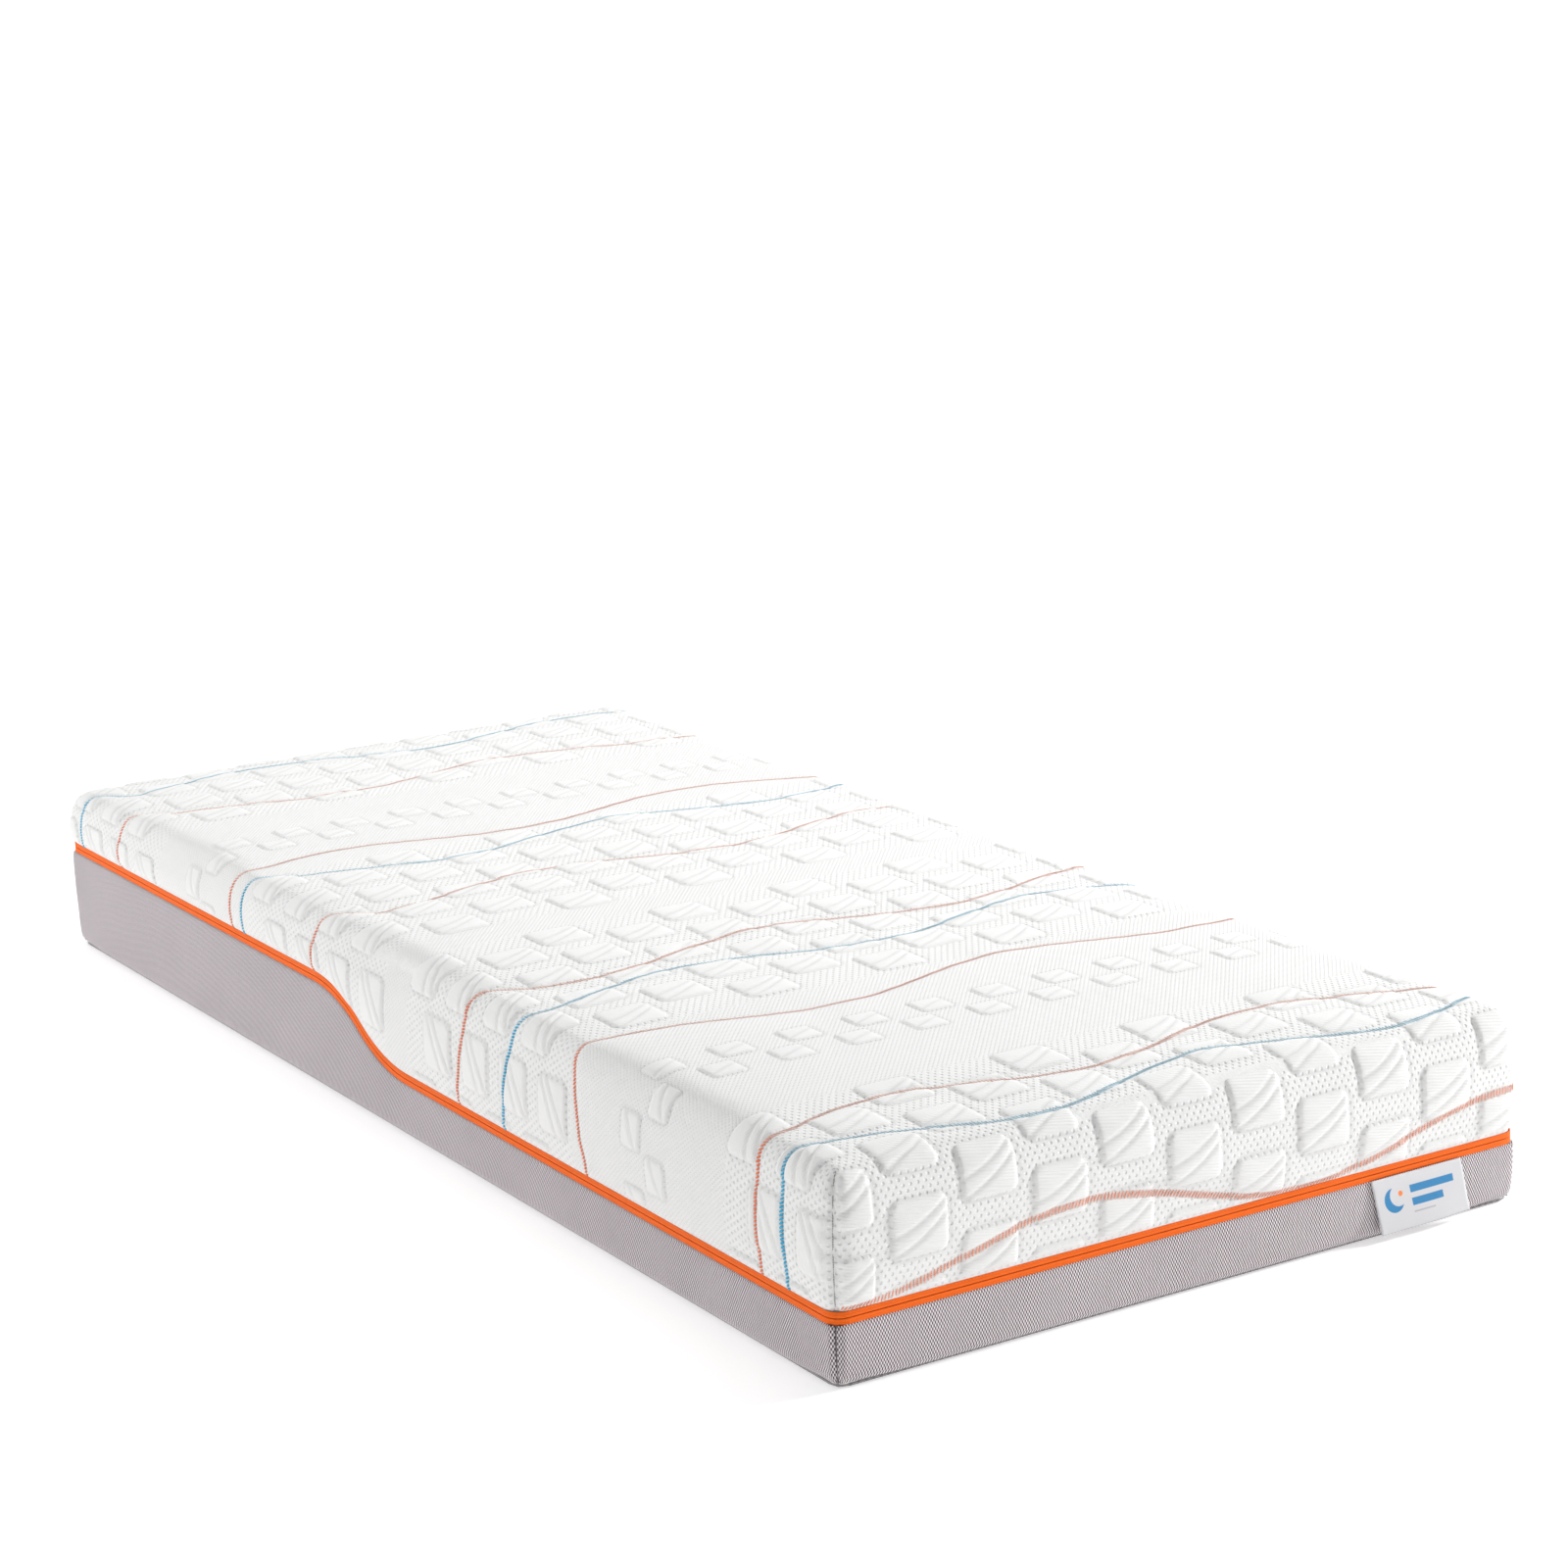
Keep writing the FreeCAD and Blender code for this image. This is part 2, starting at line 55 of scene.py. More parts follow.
class Finish:
    """One cloth, foam or metal finish: a material and the nodes that make it."""

    def __init__(self, name):
        self.material = bpy.data.materials.new(name)
        self.material.use_nodes = True
        self.tree = self.material.node_tree
        self.tree.nodes.clear()
        output = self.tree.nodes.new("ShaderNodeOutputMaterial")
        self.surface = self.tree.nodes.new("ShaderNodeBsdfPrincipled")
        self.tree.links.new(self.surface.outputs[0], output.inputs["Surface"])

    def node(self, kind, settings=None, inputs=None, out=0):
        made = self.tree.nodes.new(kind)
        for key, value in (settings or {}).items():
            setattr(made, key, value)
        for key, value in (inputs or {}).items():
            if isinstance(value, Wire):
                self.tree.links.new(value.socket, made.inputs[key])
            elif value is not None:
                made.inputs[key].default_value = value
        return Wire(self, made.outputs[out])

    def lie(self):
        """Metres across the cloth as it was cut, from the piece's own map."""
        return self.node("ShaderNodeUVMap", {"uv_map": "weave"})

    def place(self):
        return self.node("ShaderNodeTexCoord", out="Object")

    def across(self, where):
        """The three parts of a place."""
        made = self.tree.nodes.new("ShaderNodeSeparateXYZ")
        self.tree.links.new(where.socket, made.inputs[0])
        return [Wire(self, socket) for socket in made.outputs]

    def speckle(self, where, scale, detail=2.0, rough=0.5):
        return self.node("ShaderNodeTexNoise", None,
                         {"Vector": where, "Scale": scale, "Detail": detail, "Roughness": rough})

    def blend(self, share, first, second):
        """A colour between two colours."""
        return self.node("ShaderNodeMix", {"data_type": "RGBA"},
                         {0: share, 6: first, 7: second}, out=2)

    def tinted(self, colour, by):
        """A colour with its brightness multiplied by a value that varies."""
        grey = self.node("ShaderNodeCombineXYZ", None, {0: by, 1: by, 2: by})
        return self.node("ShaderNodeMix", {"data_type": "RGBA", "blend_type": "MULTIPLY"},
                         {0: 1.0, 6: colour, 7: grey}, out=2)

    def raised(self, height, distance, strength=1.0):
        return self.node("ShaderNodeBump", None,
                         {"Height": height, "Distance": distance, "Strength": strength})

    def wear(self, colour=None, rough=None, normal=None, **fixed):
        """Puts the finish together: what varies is linked, what is the same all over is set."""
        for key, value in (("Base Color", colour), ("Roughness", rough), ("Normal", normal)):
            if isinstance(value, Wire):
                self.tree.links.new(value.socket, self.surface.inputs[key])
            elif value is not None:
                self.surface.inputs[key].default_value = value
        for key, value in fixed.items():
            plain = key.replace("_", " ").title().replace("Ior", "IOR")
            self.surface.inputs[plain].default_value = value
        return self.material


class Wire:
    """A socket of a finish that takes part in ordinary sums."""

    def __init__(self, finish, socket):
        self.finish = finish
        self.socket = socket

    def sum(self, operation, *others, swap=False):
        values = [*others, self] if swap else [self, *others]
        return self.finish.node("ShaderNodeMath", {"operation": operation}, dict(enumerate(values)))

    def __add__(self, other):
        return self.sum("ADD", other)

    def __sub__(self, other):
        return self.sum("SUBTRACT", other)

    def __mul__(self, other):
        return self.sum("MULTIPLY", other)

    def __rsub__(self, other):
        return self.sum("SUBTRACT", other, swap=True)

    __radd__ = __add__
    __rmul__ = __mul__

    def sine(self):
        return self.sum("SINE")

    def cosine(self):
        return self.sum("COSINE")

    def size(self):
        return self.sum("ABSOLUTE")

    def least(self, other):
        return self.sum("MINIMUM", other)

    def most(self, other):
        return self.sum("MAXIMUM", other)

    def power(self, other):
        return self.sum("POWER", other)

    def ribs(self, pitch):
        """Even ribs, from -1 to 1, one to every pitch."""
        return (self * (2 * math.pi / pitch)).sine()

    def wrap(self, span):
        """Repeats every span, from minus half to plus half of it."""
        return self.sum("WRAP", span / 2, -span / 2)

    def fade(self, low, high, to_low=0.0, to_high=1.0):
        """Rises smoothly from to_low at low to to_high at high."""
        return self.finish.node("ShaderNodeMapRange", {"interpolation_type": "SMOOTHSTEP"},
                                {0: self, 1: low, 2: high, 3: to_low, 4: to_high})


def placed(name, bm):
    """Makes a finished mesh into an object at the origin."""
    mesh = bpy.data.meshes.new(name)
    bm.to_mesh(mesh)
    bm.free()
    made = bpy.data.objects.new(name, mesh)
    scene.collection.objects.link(made)
    return made


def piece(name, bm, body, material, smooth=True):
    """A piece of the mattress: it has a finish and rides on its body."""
    made = placed(name, bm)
    made.data.materials.append(material)
    made.data.polygons.foreach_set("use_smooth", [smooth] * len(made.data.polygons))
    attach(made, body)
    return made


def thickened(made, thickness):
    """Cloth of a real thickness: the wall grows inwards from the outer face."""
    wall = made.modifiers.new("cloth thickness", "SOLIDIFY")
    wall.thickness = thickness
    wall.offset = -1.0
    wall.use_even_offset = False


def rim_of(bm):
    return [e for e in bm.edges if e.is_boundary]


def charted(bm, cut):
    """Writes each point's place on the cut cloth into the map called weave."""
    weave = bm.loops.layers.uv.new("weave")
    for face in bm.faces:
        for loop in face.loops:
            loop[weave].uv = cut[loop.vert]


def extruded(bm, edges):
    """Grows faces from edges; gives the new outer edges and their points."""
    grown = bmesh.ops.extrude_edge_only(bm, edges=edges)["geom"]
    return ([g for g in grown if isinstance(g, bmesh.types.BMEdge)],
            [g for g in grown if isinstance(g, bmesh.types.BMVert)])


def turned_out(bm, outward):
    """Turns all the faces over if they look inwards; outward(face) is the way out."""
    bm.normal_update()
    if sum(face.normal.dot(Vector(outward(face))) for face in bm.faces) < 0:
        bmesh.ops.reverse_faces(bm, faces=bm.faces[:])


def sewn_cord(bm, trail, radius):
    """A thin six-sided cord along a trail of points."""
    ring = bmesh.ops.create_circle(bm, segments=6, radius=radius, cap_ends=False)["verts"]
    bmesh.ops.translate(bm, verts=ring, vec=trail[0])
    edges = list({e for v in ring for e in v.link_edges})
    for before, after in zip(trail, trail[1:]):
        edges, verts = extruded(bm, edges)
        bmesh.ops.translate(bm, verts=verts, vec=after - before)


def closed_cords(bm):
    bmesh.ops.holes_fill(bm, edges=rim_of(bm), sides=12)
    bmesh.ops.recalc_face_normals(bm, faces=bm.faces[:])
    return bm


# what one side is shorter by, per metre of corner radius, when a corner is rounded
corner_saves = 1 - math.pi / 4


def round_plan(run, half_long, half_short, corner):
    """A point on a rounded rectangle, run metres along its long face from the middle.
    Returns the place along the face, the place out from the middle and the outward turn."""
    straight = half_long - corner
    if abs(run) <= straight:
        return run, half_short, 0.0
    turn = min((abs(run) - straight) / max(corner, 1e-6), math.pi / 4)
    side = math.copysign(1.0, run)
    return (side * (straight + corner * math.sin(turn)),
            half_short - corner + corner * math.cos(turn), side * turn)


mattress_half_width = 0.450
mattress_half_length = 1.000
corner_radius = 0.018


def base_knit():
    f = Finish("grey grip knit")
    x, y, _ = f.across(f.place())
    rib = x.ribs(0.0032) * (y * (2 * math.pi / 0.0024)).cosine()
    dots = (x * (math.pi / 0.009)).sine() * (y * (math.pi / 0.009)).sine()
    dot = dots.size().fade(0.72, 0.86)
    shade = rib * 0.10 + f.speckle(f.place(), 30.0) * 0.16 + 0.86
    cloth = f.blend(dot, f.tinted((0.30, 0.285, 0.29, 1), shade), (0.17, 0.165, 0.17, 1))
    return f.wear(cloth, dot * -0.35 + 0.86, f.raised(rib * 0.25 + dot, 0.0006),
                  sheen_weight=0.25, sheen_roughness=0.5)


bm = bmesh.new()
bmesh.ops.create_grid(bm, x_segments=60, y_segments=132, size=1.0)
half_across, half_along, turned = 0.4436, 0.9936, 0.012
for v in bm.verts:
    u, w = v.co.x, v.co.y
    x = u * half_across
    y = w * half_along
    over_x = max(0.0, abs(x) - half_across + turned)
    over_y = max(0.0, abs(y) - half_along + turned)
    if over_x > 0 and over_y > 0:
        # square corner of the grid drawn in to a round one
        far = max(over_x, over_y) / math.hypot(over_x, over_y)
        x = math.copysign(half_across - turned + over_x * far, x)
        y = math.copysign(half_along - turned + over_y * far, y)
    edge = min(1.0, abs(x) / half_across) ** 24 + min(1.0, abs(y) / half_along) ** 60
    v.co = (x, y, 0.0004 + 0.0006 * min(1.0, edge))
bmesh.ops.reverse_faces(bm, faces=bm.faces[:])
base = piece("base_panel_knit", bm, "lower_cover", base_knit())
thickened(base, 0.0026)
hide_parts("base_panel")


# ---- Border ----
# Four strips of grey spacer mesh, cut with their top edge along the zip and sewn together
# up the corners. The lower edge rolls under to meet the base panel.

zip_head = 0.1445
zip_foot = 0.0750
bend_start = 0.185
bend_end = -0.065
band_half = 0.0068
bend_span = bend_start - bend_end
bend_drop = zip_head - zip_foot
bend_radius = (bend_span ** 2 + bend_drop ** 2) / (4 * bend_drop)
border_roll = 0.014
border_corner = 0.013
corner_draw = 0.0045
strip_thickness = 0.0052


def zip_height(y):
    """Height of the middle of the zip along the long faces: high at the head, low at the foot."""
    middle = (bend_start + bend_end) / 2
    if y >= bend_start:
        return zip_head
    if y <= bend_end:
        return zip_foot
    if y > middle:
        return zip_head - bend_radius + math.sqrt(bend_radius ** 2 - (bend_start - y) ** 2)
    return zip_foot + bend_radius - math.sqrt(bend_radius ** 2 - (y - bend_end) ** 2)


def zip_lean(y):
    """Slope of the zip there, as an angle."""
    return math.atan2(zip_height(y + 0.001) - zip_height(y - 0.001), 0.002)


def border_top(y):
    return zip_height(y) - band_half / math.cos(zip_lean(y))


def cover_rim(y):
    return zip_height(y) + band_half / math.cos(zip_lean(y))


def spacer_mesh():
    f = Finish("grey spacer mesh")
    u, v, _ = f.across(f.lie())
    soft = f.speckle(f.lie(), 6.0, 2.0)
    wander = (f.speckle(f.lie(), 24.0, 1.0) - 0.5) * 0.0012
    columns = ((u + wander) * (2 * math.pi / 0.0034)).cosine()
    lattice = columns * ((v + wander) * (math.pi / 0.0031)).cosine()
    hole = lattice.fade(0.05, 0.38)
    thread = (lattice * -1.0).fade(-0.1, 0.9)
    twist = (u + v).ribs(0.0009) * thread
    # painted shade: the yarn is painted darker towards the holes and the holes near-black, for the shade
    # inside the mesh
    yarn = f.blend(thread, (0.49, 0.43, 0.455, 1), (1.0, 0.92, 0.955, 1))
    yarn = f.tinted(yarn, soft * 0.22 + 0.90)
    cloth = f.blend(hole * 0.92, yarn, (0.055, 0.040, 0.046, 1))
    relief = thread * 1.0 - hole * 1.0 + twist * 0.12
    return f.wear(cloth, 0.82, f.raised(relief, 0.0005, 0.9),
                  sheen_weight=0.35, sheen_roughness=0.45)


mesh_cloth = spacer_mesh()


def border_strip(where, half_long, half_short, place, rows):
    """One strip of the border. place turns (along, out) into plan x, y."""
    reach = half_long - border_corner * corner_saves
    bm = bmesh.new()
    bmesh.ops.create_grid(bm, x_segments=int(reach * 2 / 0.006), y_segments=rows, size=1.0)
    cut = {}
    for v in bm.verts:
        run = v.co.x * reach
        rise = (v.co.y + 1) / 2
        along, out, turn = round_plan(run, half_long, half_short, border_corner)
        x, y = place(along, out)
        top = border_top(y)
        z = rise * top
        low = max(0.0, 1 - z / border_roll)
        tuck = border_roll * (1 - math.sqrt(max(0.0, 1 - low * low)))
        lip = 0.0011 * max(0.0, 1 - (top - z) / 0.004) ** 2
        belly = 0.0022 * math.sin(math.pi * min(1.0, rise)) ** 0.8
        ripple = 0.0014 * noise.noise(Vector((x * 7, y * 7, z * 9))) * math.sin(math.pi * rise)
        seam_gap = reach - abs(run)
        seam = 0.0016 * math.exp(-(seam_gap / 0.0022) ** 2)
        seam -= 0.0009 * math.exp(-((seam_gap - 0.006) / 0.003) ** 2)
        drawn_in = max(0.0, 1 - seam_gap / 0.13) ** 2 * (1 - min(1.0, rise))
        push = belly + ripple - tuck - lip - seam - corner_draw * drawn_in
        x, y = place(along + push * math.sin(turn), out + push * math.cos(turn))
        cut[v] = (run, z + 0.57 * border_roll * low * low)
        v.co = (x, y, max(z, 0.0002) + 0.0012 * drawn_in)
    charted(bm, cut)
    turned_out(bm, lambda face: (*place(0, 1), 0))
    strip = piece(f"border_strip_{where}", bm, "lower_cover", mesh_cloth)
    thickened(strip, strip_thickness)
    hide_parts(f"border_{where}")


border_strip("left", mattress_half_length, mattress_half_width, lambda a, o: (-o, a), 26)
border_strip("right", mattress_half_length, mattress_half_width, lambda a, o: (o, a), 26)
border_strip("foot", mattress_half_width, mattress_half_length, lambda a, o: (a, -o), 16)
border_strip("head", mattress_half_width, mattress_half_length, lambda a, o: (a, o), 26)


# ---- Corner piping of the border ----
# At each corner the two strips are sewn edge to edge; the turned-in allowance shows as a
# thin upright ridge of doubled thread in the same grey.

def corner_thread():
    f = Finish("grey seam thread")
    x, y, z = f.across(f.place())
    twist = (z * (2 * math.pi / 0.0030) + (x + y) * 900.0).sine()
    return f.wear(f.tinted((0.13, 0.115, 0.12, 1), twist * 0.25 + 0.85), 0.8,
                  f.raised(twist, 0.0003), sheen_weight=0.3)


seam_foot = 0.004
seam_belly = 0.0018
seam_depth = 0.0016
bm = bmesh.new()
for side in (-1, 1):
    for end in (-1, 1):
        top = zip_head - band_half if end > 0 else zip_foot - band_half
        reach = border_corner * math.sqrt(0.5)
        corner = Vector((side * (mattress_half_width - border_corner + reach),
                         end * (mattress_half_length - border_corner + reach), 0.0))
        out = Vector((side, end, 0)).normalized()
        steps = int((top - seam_foot) / 0.006)
        trail = []
        for step in range(steps + 1):
            height = step * (top - seam_foot) / steps
            stand_out = seam_belly * math.sin(math.pi * height / top) - corner_draw * (1 - step / steps)
            trail.append(corner + out * (stand_out - seam_depth) + Vector((0, 0, seam_foot + height)))
        sewn_cord(bm, trail, 0.0007)
closed_cords(bm)
piece("border_corner_seams", bm, "lower_cover", corner_thread())


# ---- Zip ----
# An orange coil zip round all four sides, in two halves. Each half is a ribbed woven tape
# sewn just behind the edge of its cloth, with its nylon coil on the inner side.

tape_set_back = 0.0008
tape_low = 0.0005
tape_high = 0.0067
coil_set_back = 0.0019
loop_straight_x = mattress_half_width - corner_radius
loop_straight_y = mattress_half_length - corner_radius


def zip_path(run, corner):
    """Plan point and outward direction at run metres round the loop."""
    arc = corner * math.pi / 2
    legs = [2 * loop_straight_y, arc, 2 * loop_straight_x, arc] * 2
    heading = 0
    while run > legs[heading] and heading < 7:
        run -= legs[heading]
        heading += 1
    quarter = (heading // 2) * math.pi / 2
    out = Vector((math.cos(quarter), math.sin(quarter)))
    ahead = Vector((-out.y, out.x))
    sides = [(1, 1), (-1, 1), (-1, -1), (1, -1)][heading // 2]
    centre = Vector((sides[0] * loop_straight_x, sides[1] * loop_straight_y))
    if heading % 2 == 0:
        return centre + out * corner + ahead * (run - legs[heading]), out
    turn = run / corner
    swung = out * math.cos(turn) + ahead * math.sin(turn)
    return centre + swung * corner, swung


def zip_band(low, high, set_back, bulge, steps_across, spacing):
    """A closed band that follows the zip, low to high being its distance from the zip's middle."""
    corner = corner_radius - set_back
    whole = 4 * loop_straight_x + 4 * loop_straight_y + 2 * math.pi * corner
    bm = bmesh.new()
    bmesh.ops.create_grid(bm, x_segments=int(whole / spacing), y_segments=steps_across, size=1.0)
    cut = {}
    for v in bm.verts:
        run = (v.co.x + 1) / 2 * whole
        share = (v.co.y + 1) / 2
        level = low + (high - low) * share
        spot, out = zip_path(run, corner)
        lean = zip_lean(spot.y) if abs(out.x) > 0.999 else 0.0
        shift = -level * math.sin(lean)
        spot = spot + out * bulge * math.sin(math.pi * share)
        cut[v] = (run, level)
        v.co = (spot.x, spot.y + shift, zip_height(spot.y) + level * math.cos(lean))
    charted(bm, cut)
    turned_out(bm, lambda face: (face.calc_center_median().x, 0, 0))
    bmesh.ops.remove_doubles(bm, verts=bm.verts[:], dist=0.00002)
    return bm


def zip_tape():
    f = Finish("orange zip tape")
    u, v, _ = f.across(f.lie())
    rib = v.ribs(0.0013)
    cross = u.ribs(0.0011)
    weave = rib * 0.6 + cross * rib * 0.4
    shade = weave * 0.10 + f.speckle(f.lie(), 60.0) * 0.14 + 0.90
    stitch_row = ((v.size() - 0.0052).size()).fade(0.0004, 0.0007, 1.0, 0.0)
    stitch = stitch_row * u.ribs(0.0042).fade(-0.3, 0.1)
    groove = ((v.size() - 0.0037).size()).fade(0.0002, 0.0005, 1.0, 0.0)
    # painted shade: the two grooves are painted darker
    cloth = f.tinted((1.0, 0.155, 0.006, 1), shade - groove * 0.12)
    cloth = f.blend(stitch * 0.30, cloth, (0.75, 0.09, 0.006, 1))
    return f.wear(cloth, 0.7, f.raised(weave - stitch * 0.6 - groove, 0.0002, 0.8),
                  specular_ior_level=0.25)


def zip_nylon():
    f = Finish("orange nylon coil")
    u, v, _ = f.across(f.lie())
    turn = (u * (2 * math.pi / 0.0017) + v * 500.0).sine()
    shade = turn * 0.22 + 0.78
    return f.wear(f.tinted((1.0, 0.15, 0.006, 1), shade), 0.38, f.raised(turn, 0.0006),
                  coat_weight=0.15)


tape_cloth = zip_tape()
coil_nylon = zip_nylon()
for half, sign, body in (("lower", -1, "lower_cover"), ("upper", 1, "upper_cover")):
    near, far = sorted((sign * tape_low, sign * tape_high))
    tape = piece(f"zip_tape_{half}_woven", zip_band(near, far, tape_set_back, 0.0, 6, 0.008),
                 body, tape_cloth)
    thickened(tape, 0.0009)
    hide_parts(f"zip_tape_{half}")
    near, far = sorted((sign * 0.0002, sign * 0.0032))
    coil = piece(f"zip_coil_{half}_nylon",
                 zip_band(near, far, coil_set_back, 0.0004, 5, 0.006),
                 body, coil_nylon)
    thickened(coil, 0.0015)
    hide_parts(f"zip_coil_{half}")


# ---- Foam core ----
# Cut foam blocks, stacked loose: a slab with two softer zone inserts let into its top,
# a comfort layer with cross channels underneath, and a memory foam layer on top.

def open_foam(name, light, dark, cell):
    f = Finish(name)
    where = f.place()
    pores = f.node("ShaderNodeTexVoronoi", {"feature": "F1"}, {"Vector": where, "Scale": 1 / cell})
    fine = f.node("ShaderNodeTexVoronoi", {"feature": "F1"}, {"Vector": where, "Scale": 2.3 / cell})
    pit = pores.fade(0.15, 0.55, 1.0, 0.0)
    small = fine.fade(0.10, 0.50, 1.0, 0.0)
    mottle = f.speckle(where, 9.0, 3.0)
    # painted shade: the pores are painted darker, for the shade inside the cells
    colour = f.blend(pit * 0.5 + small * 0.25, light, dark)
    colour = f.tinted(colour, mottle * 0.16 + 0.92)
    return f.wear(colour, 0.92, f.raised(pit * -1.0 - small * 0.5, 0.0008, 0.7), sheen_weight=0.2)


def cut_foam(node, name, material, edge):
    """The CAD block with its cut edges softened, as a foam saw leaves them."""
    bm = bmesh.new()
    bm.from_mesh(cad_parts[node].data)
    bmesh.ops.remove_doubles(bm, verts=bm.verts[:], dist=0.00002)
    bmesh.ops.dissolve_limit(bm, angle_limit=0.02, verts=bm.verts[:], edges=bm.edges[:])
    sharp = [e for e in bm.edges if len(e.link_faces) == 2 and e.calc_face_angle(0.0) > 0.7]
    bmesh.ops.bevel(bm, geom=sharp, offset=edge, segments=3, profile=0.5, affect="EDGES",
                    material=-1, clamp_overlap=True)
    block = piece(name, bm, "core", material, smooth=False)
    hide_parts(node)


cut_foam("core_base", "core_slab",
         open_foam("core foam", (0.83, 0.82, 0.78, 1), (0.55, 0.54, 0.50, 1), 0.0024), 0.0022)
insert_foam = open_foam("zone insert foam", (0.36, 0.55, 0.70, 1), (0.20, 0.34, 0.47, 1), 0.0026)
cut_foam("shoulder_insert", "shoulder_zone_foam", insert_foam, 0.0022)
cut_foam("hip_insert", "hip_zone_foam", insert_foam, 0.0022)
cut_foam("comfort_layer", "comfort_foam",
         open_foam("comfort foam", (0.86, 0.84, 0.76, 1), (0.60, 0.58, 0.50, 1), 0.0022), 0.0018)


# ---- Top cover ----
# One quilted knit panel drawn over the top and down the sides, sewn up each corner and
# along the zip. Inside it are soft wadding and a thin lining. It is crowned: it sinks
# towards its edges, and its sides belly out a little.

edge_roll = 0.023
cover_top = 0.2282
flat_x = mattress_half_width - edge_roll
flat_y = mattress_half_length - edge_roll
edge_sink = 0.0035
side_belly = 0.0035
edge_lean = 0.0045
swell_cap = 0.0035
swell_pressure = 4.0


def sink(x, y):
    """How far the top has sunk below its crown."""
    gap = min(mattress_half_width - abs(x), mattress_half_length - abs(y))
    return edge_sink * max(0.0, 1 - max(0.0, gap - 0.02) / 0.16) ** 2


def corner_at(arc, radius):
    """The corner's radius in plan: it grows from nothing as the cloth turns down the edge."""
    return max(0.0005, radius * min(1.0, 1.15 * math.sin(arc)) ** 1.2)


def skin(inset, spacing, roll_rows, side_rows, rim_at):
    """The crowned shape at a depth inside the cover: a flat panel whose edge is pulled out and
    down ring by ring. The map called weave holds metres over the cloth as it was cut."""
    roll = edge_roll - inset
    bm = bmesh.new()
    bmesh.ops.create_grid(bm, x_segments=round(2 * flat_x / spacing),
                          y_segments=round(2 * flat_y / spacing), size=1.0)
    weave = bm.loops.layers.uv.new("weave")
    origin = {v: (0, v.co.x * flat_x, v.co.y * flat_y) for v in bm.verts}
    edges = rim_of(bm)
    for ring in range(1, roll_rows + side_rows + 1):
        old = {v for e in edges for v in e.verts}
        edges, verts = extruded(bm, edges)
        for v in verts:
            below = next(e.other_vert(v) for e in v.link_edges if e.other_vert(v) in old)
            origin[v] = (ring, origin[below][1], origin[below][2])

    def shape(ring, bx, by, side):
        """Place of a point, and its distance down over the edge."""
        if ring == 0:
            return Vector((bx, by, cover_top - inset - sink(bx, by))), 0.0
        arc = min(ring, roll_rows) / roll_rows * math.pi / 2
        out = roll * math.sin(arc)
        corner = corner_at(arc, corner_radius - inset)
        half_w = flat_x + out
        half_l = flat_y + out
        if side:
            run = by / flat_y * (half_l - corner * corner_saves)
            along, away, turn = round_plan(run, half_l, half_w, corner)
            x, y = math.copysign(away, bx), along
            normal = Vector((math.copysign(math.cos(turn), bx), math.sin(turn), 0))
        else:
            run = bx / flat_x * (half_w - corner * corner_saves)
            along, away, turn = round_plan(run, half_w, half_l, corner)
            x, y = along, math.copysign(away, by)
            normal = Vector((math.sin(turn), math.copysign(math.cos(turn), by), 0))
        rim = rim_at(y)
        down = max(0, ring - roll_rows) / side_rows
        roll_end = cover_top - inset - roll
        high = cover_top - inset
        z = roll_end + (rim - roll_end) * down
        if ring <= roll_rows:
            z = high - roll * (1 - math.cos(arc))
        depth = edge_roll * arc + (roll_end - z if ring > roll_rows else 0.0)
        rise = (z - rim) / (high - rim)
        z -= sink(x, y) * rise
        belly = side_belly * math.sin(math.pi * min(1.0, rise * 1.25)) - edge_lean * rise ** 3
        return Vector((x, y, z)) + normal * belly, depth

    for face in bm.faces:
        known = [origin[v] for v in face.verts]
        flat = all(k[0] == 0 for k in known)
        side = not flat and all(abs(abs(k[1]) - flat_x) < 1e-6 for k in known)
        for loop in face.loops:
            ring, bx, by = origin[loop.vert]
            depth = shape(ring, bx, by, side)[1]
            if flat or ring == 0:
                loop[weave].uv = (bx, by)
            else:
                arc = min(ring, roll_rows) / roll_rows * math.pi / 2
                grown = edge_roll * math.sin(arc) - corner_at(arc, corner_radius) * corner_saves
                if side:
                    loop[weave].uv = (math.copysign(flat_x + depth, bx), by / flat_y * (flat_y + grown))
                else:
                    loop[weave].uv = (bx / flat_x * (flat_x + grown), math.copysign(flat_y + depth, by))
    for v, (ring, bx, by) in origin.items():
        v.co = shape(ring, bx, by, abs(abs(bx) - flat_x) < 1e-6)[0]
    turned_out(bm, lambda face: (0, 0, 1))
    return bm


# The quilting on the knit: bands of puffed blocks, rows of small blocks between them, and
# waves of coloured stitching that run across the panel and down its long sides.
# Millimetres: across from the middle, and down the panel from the head.

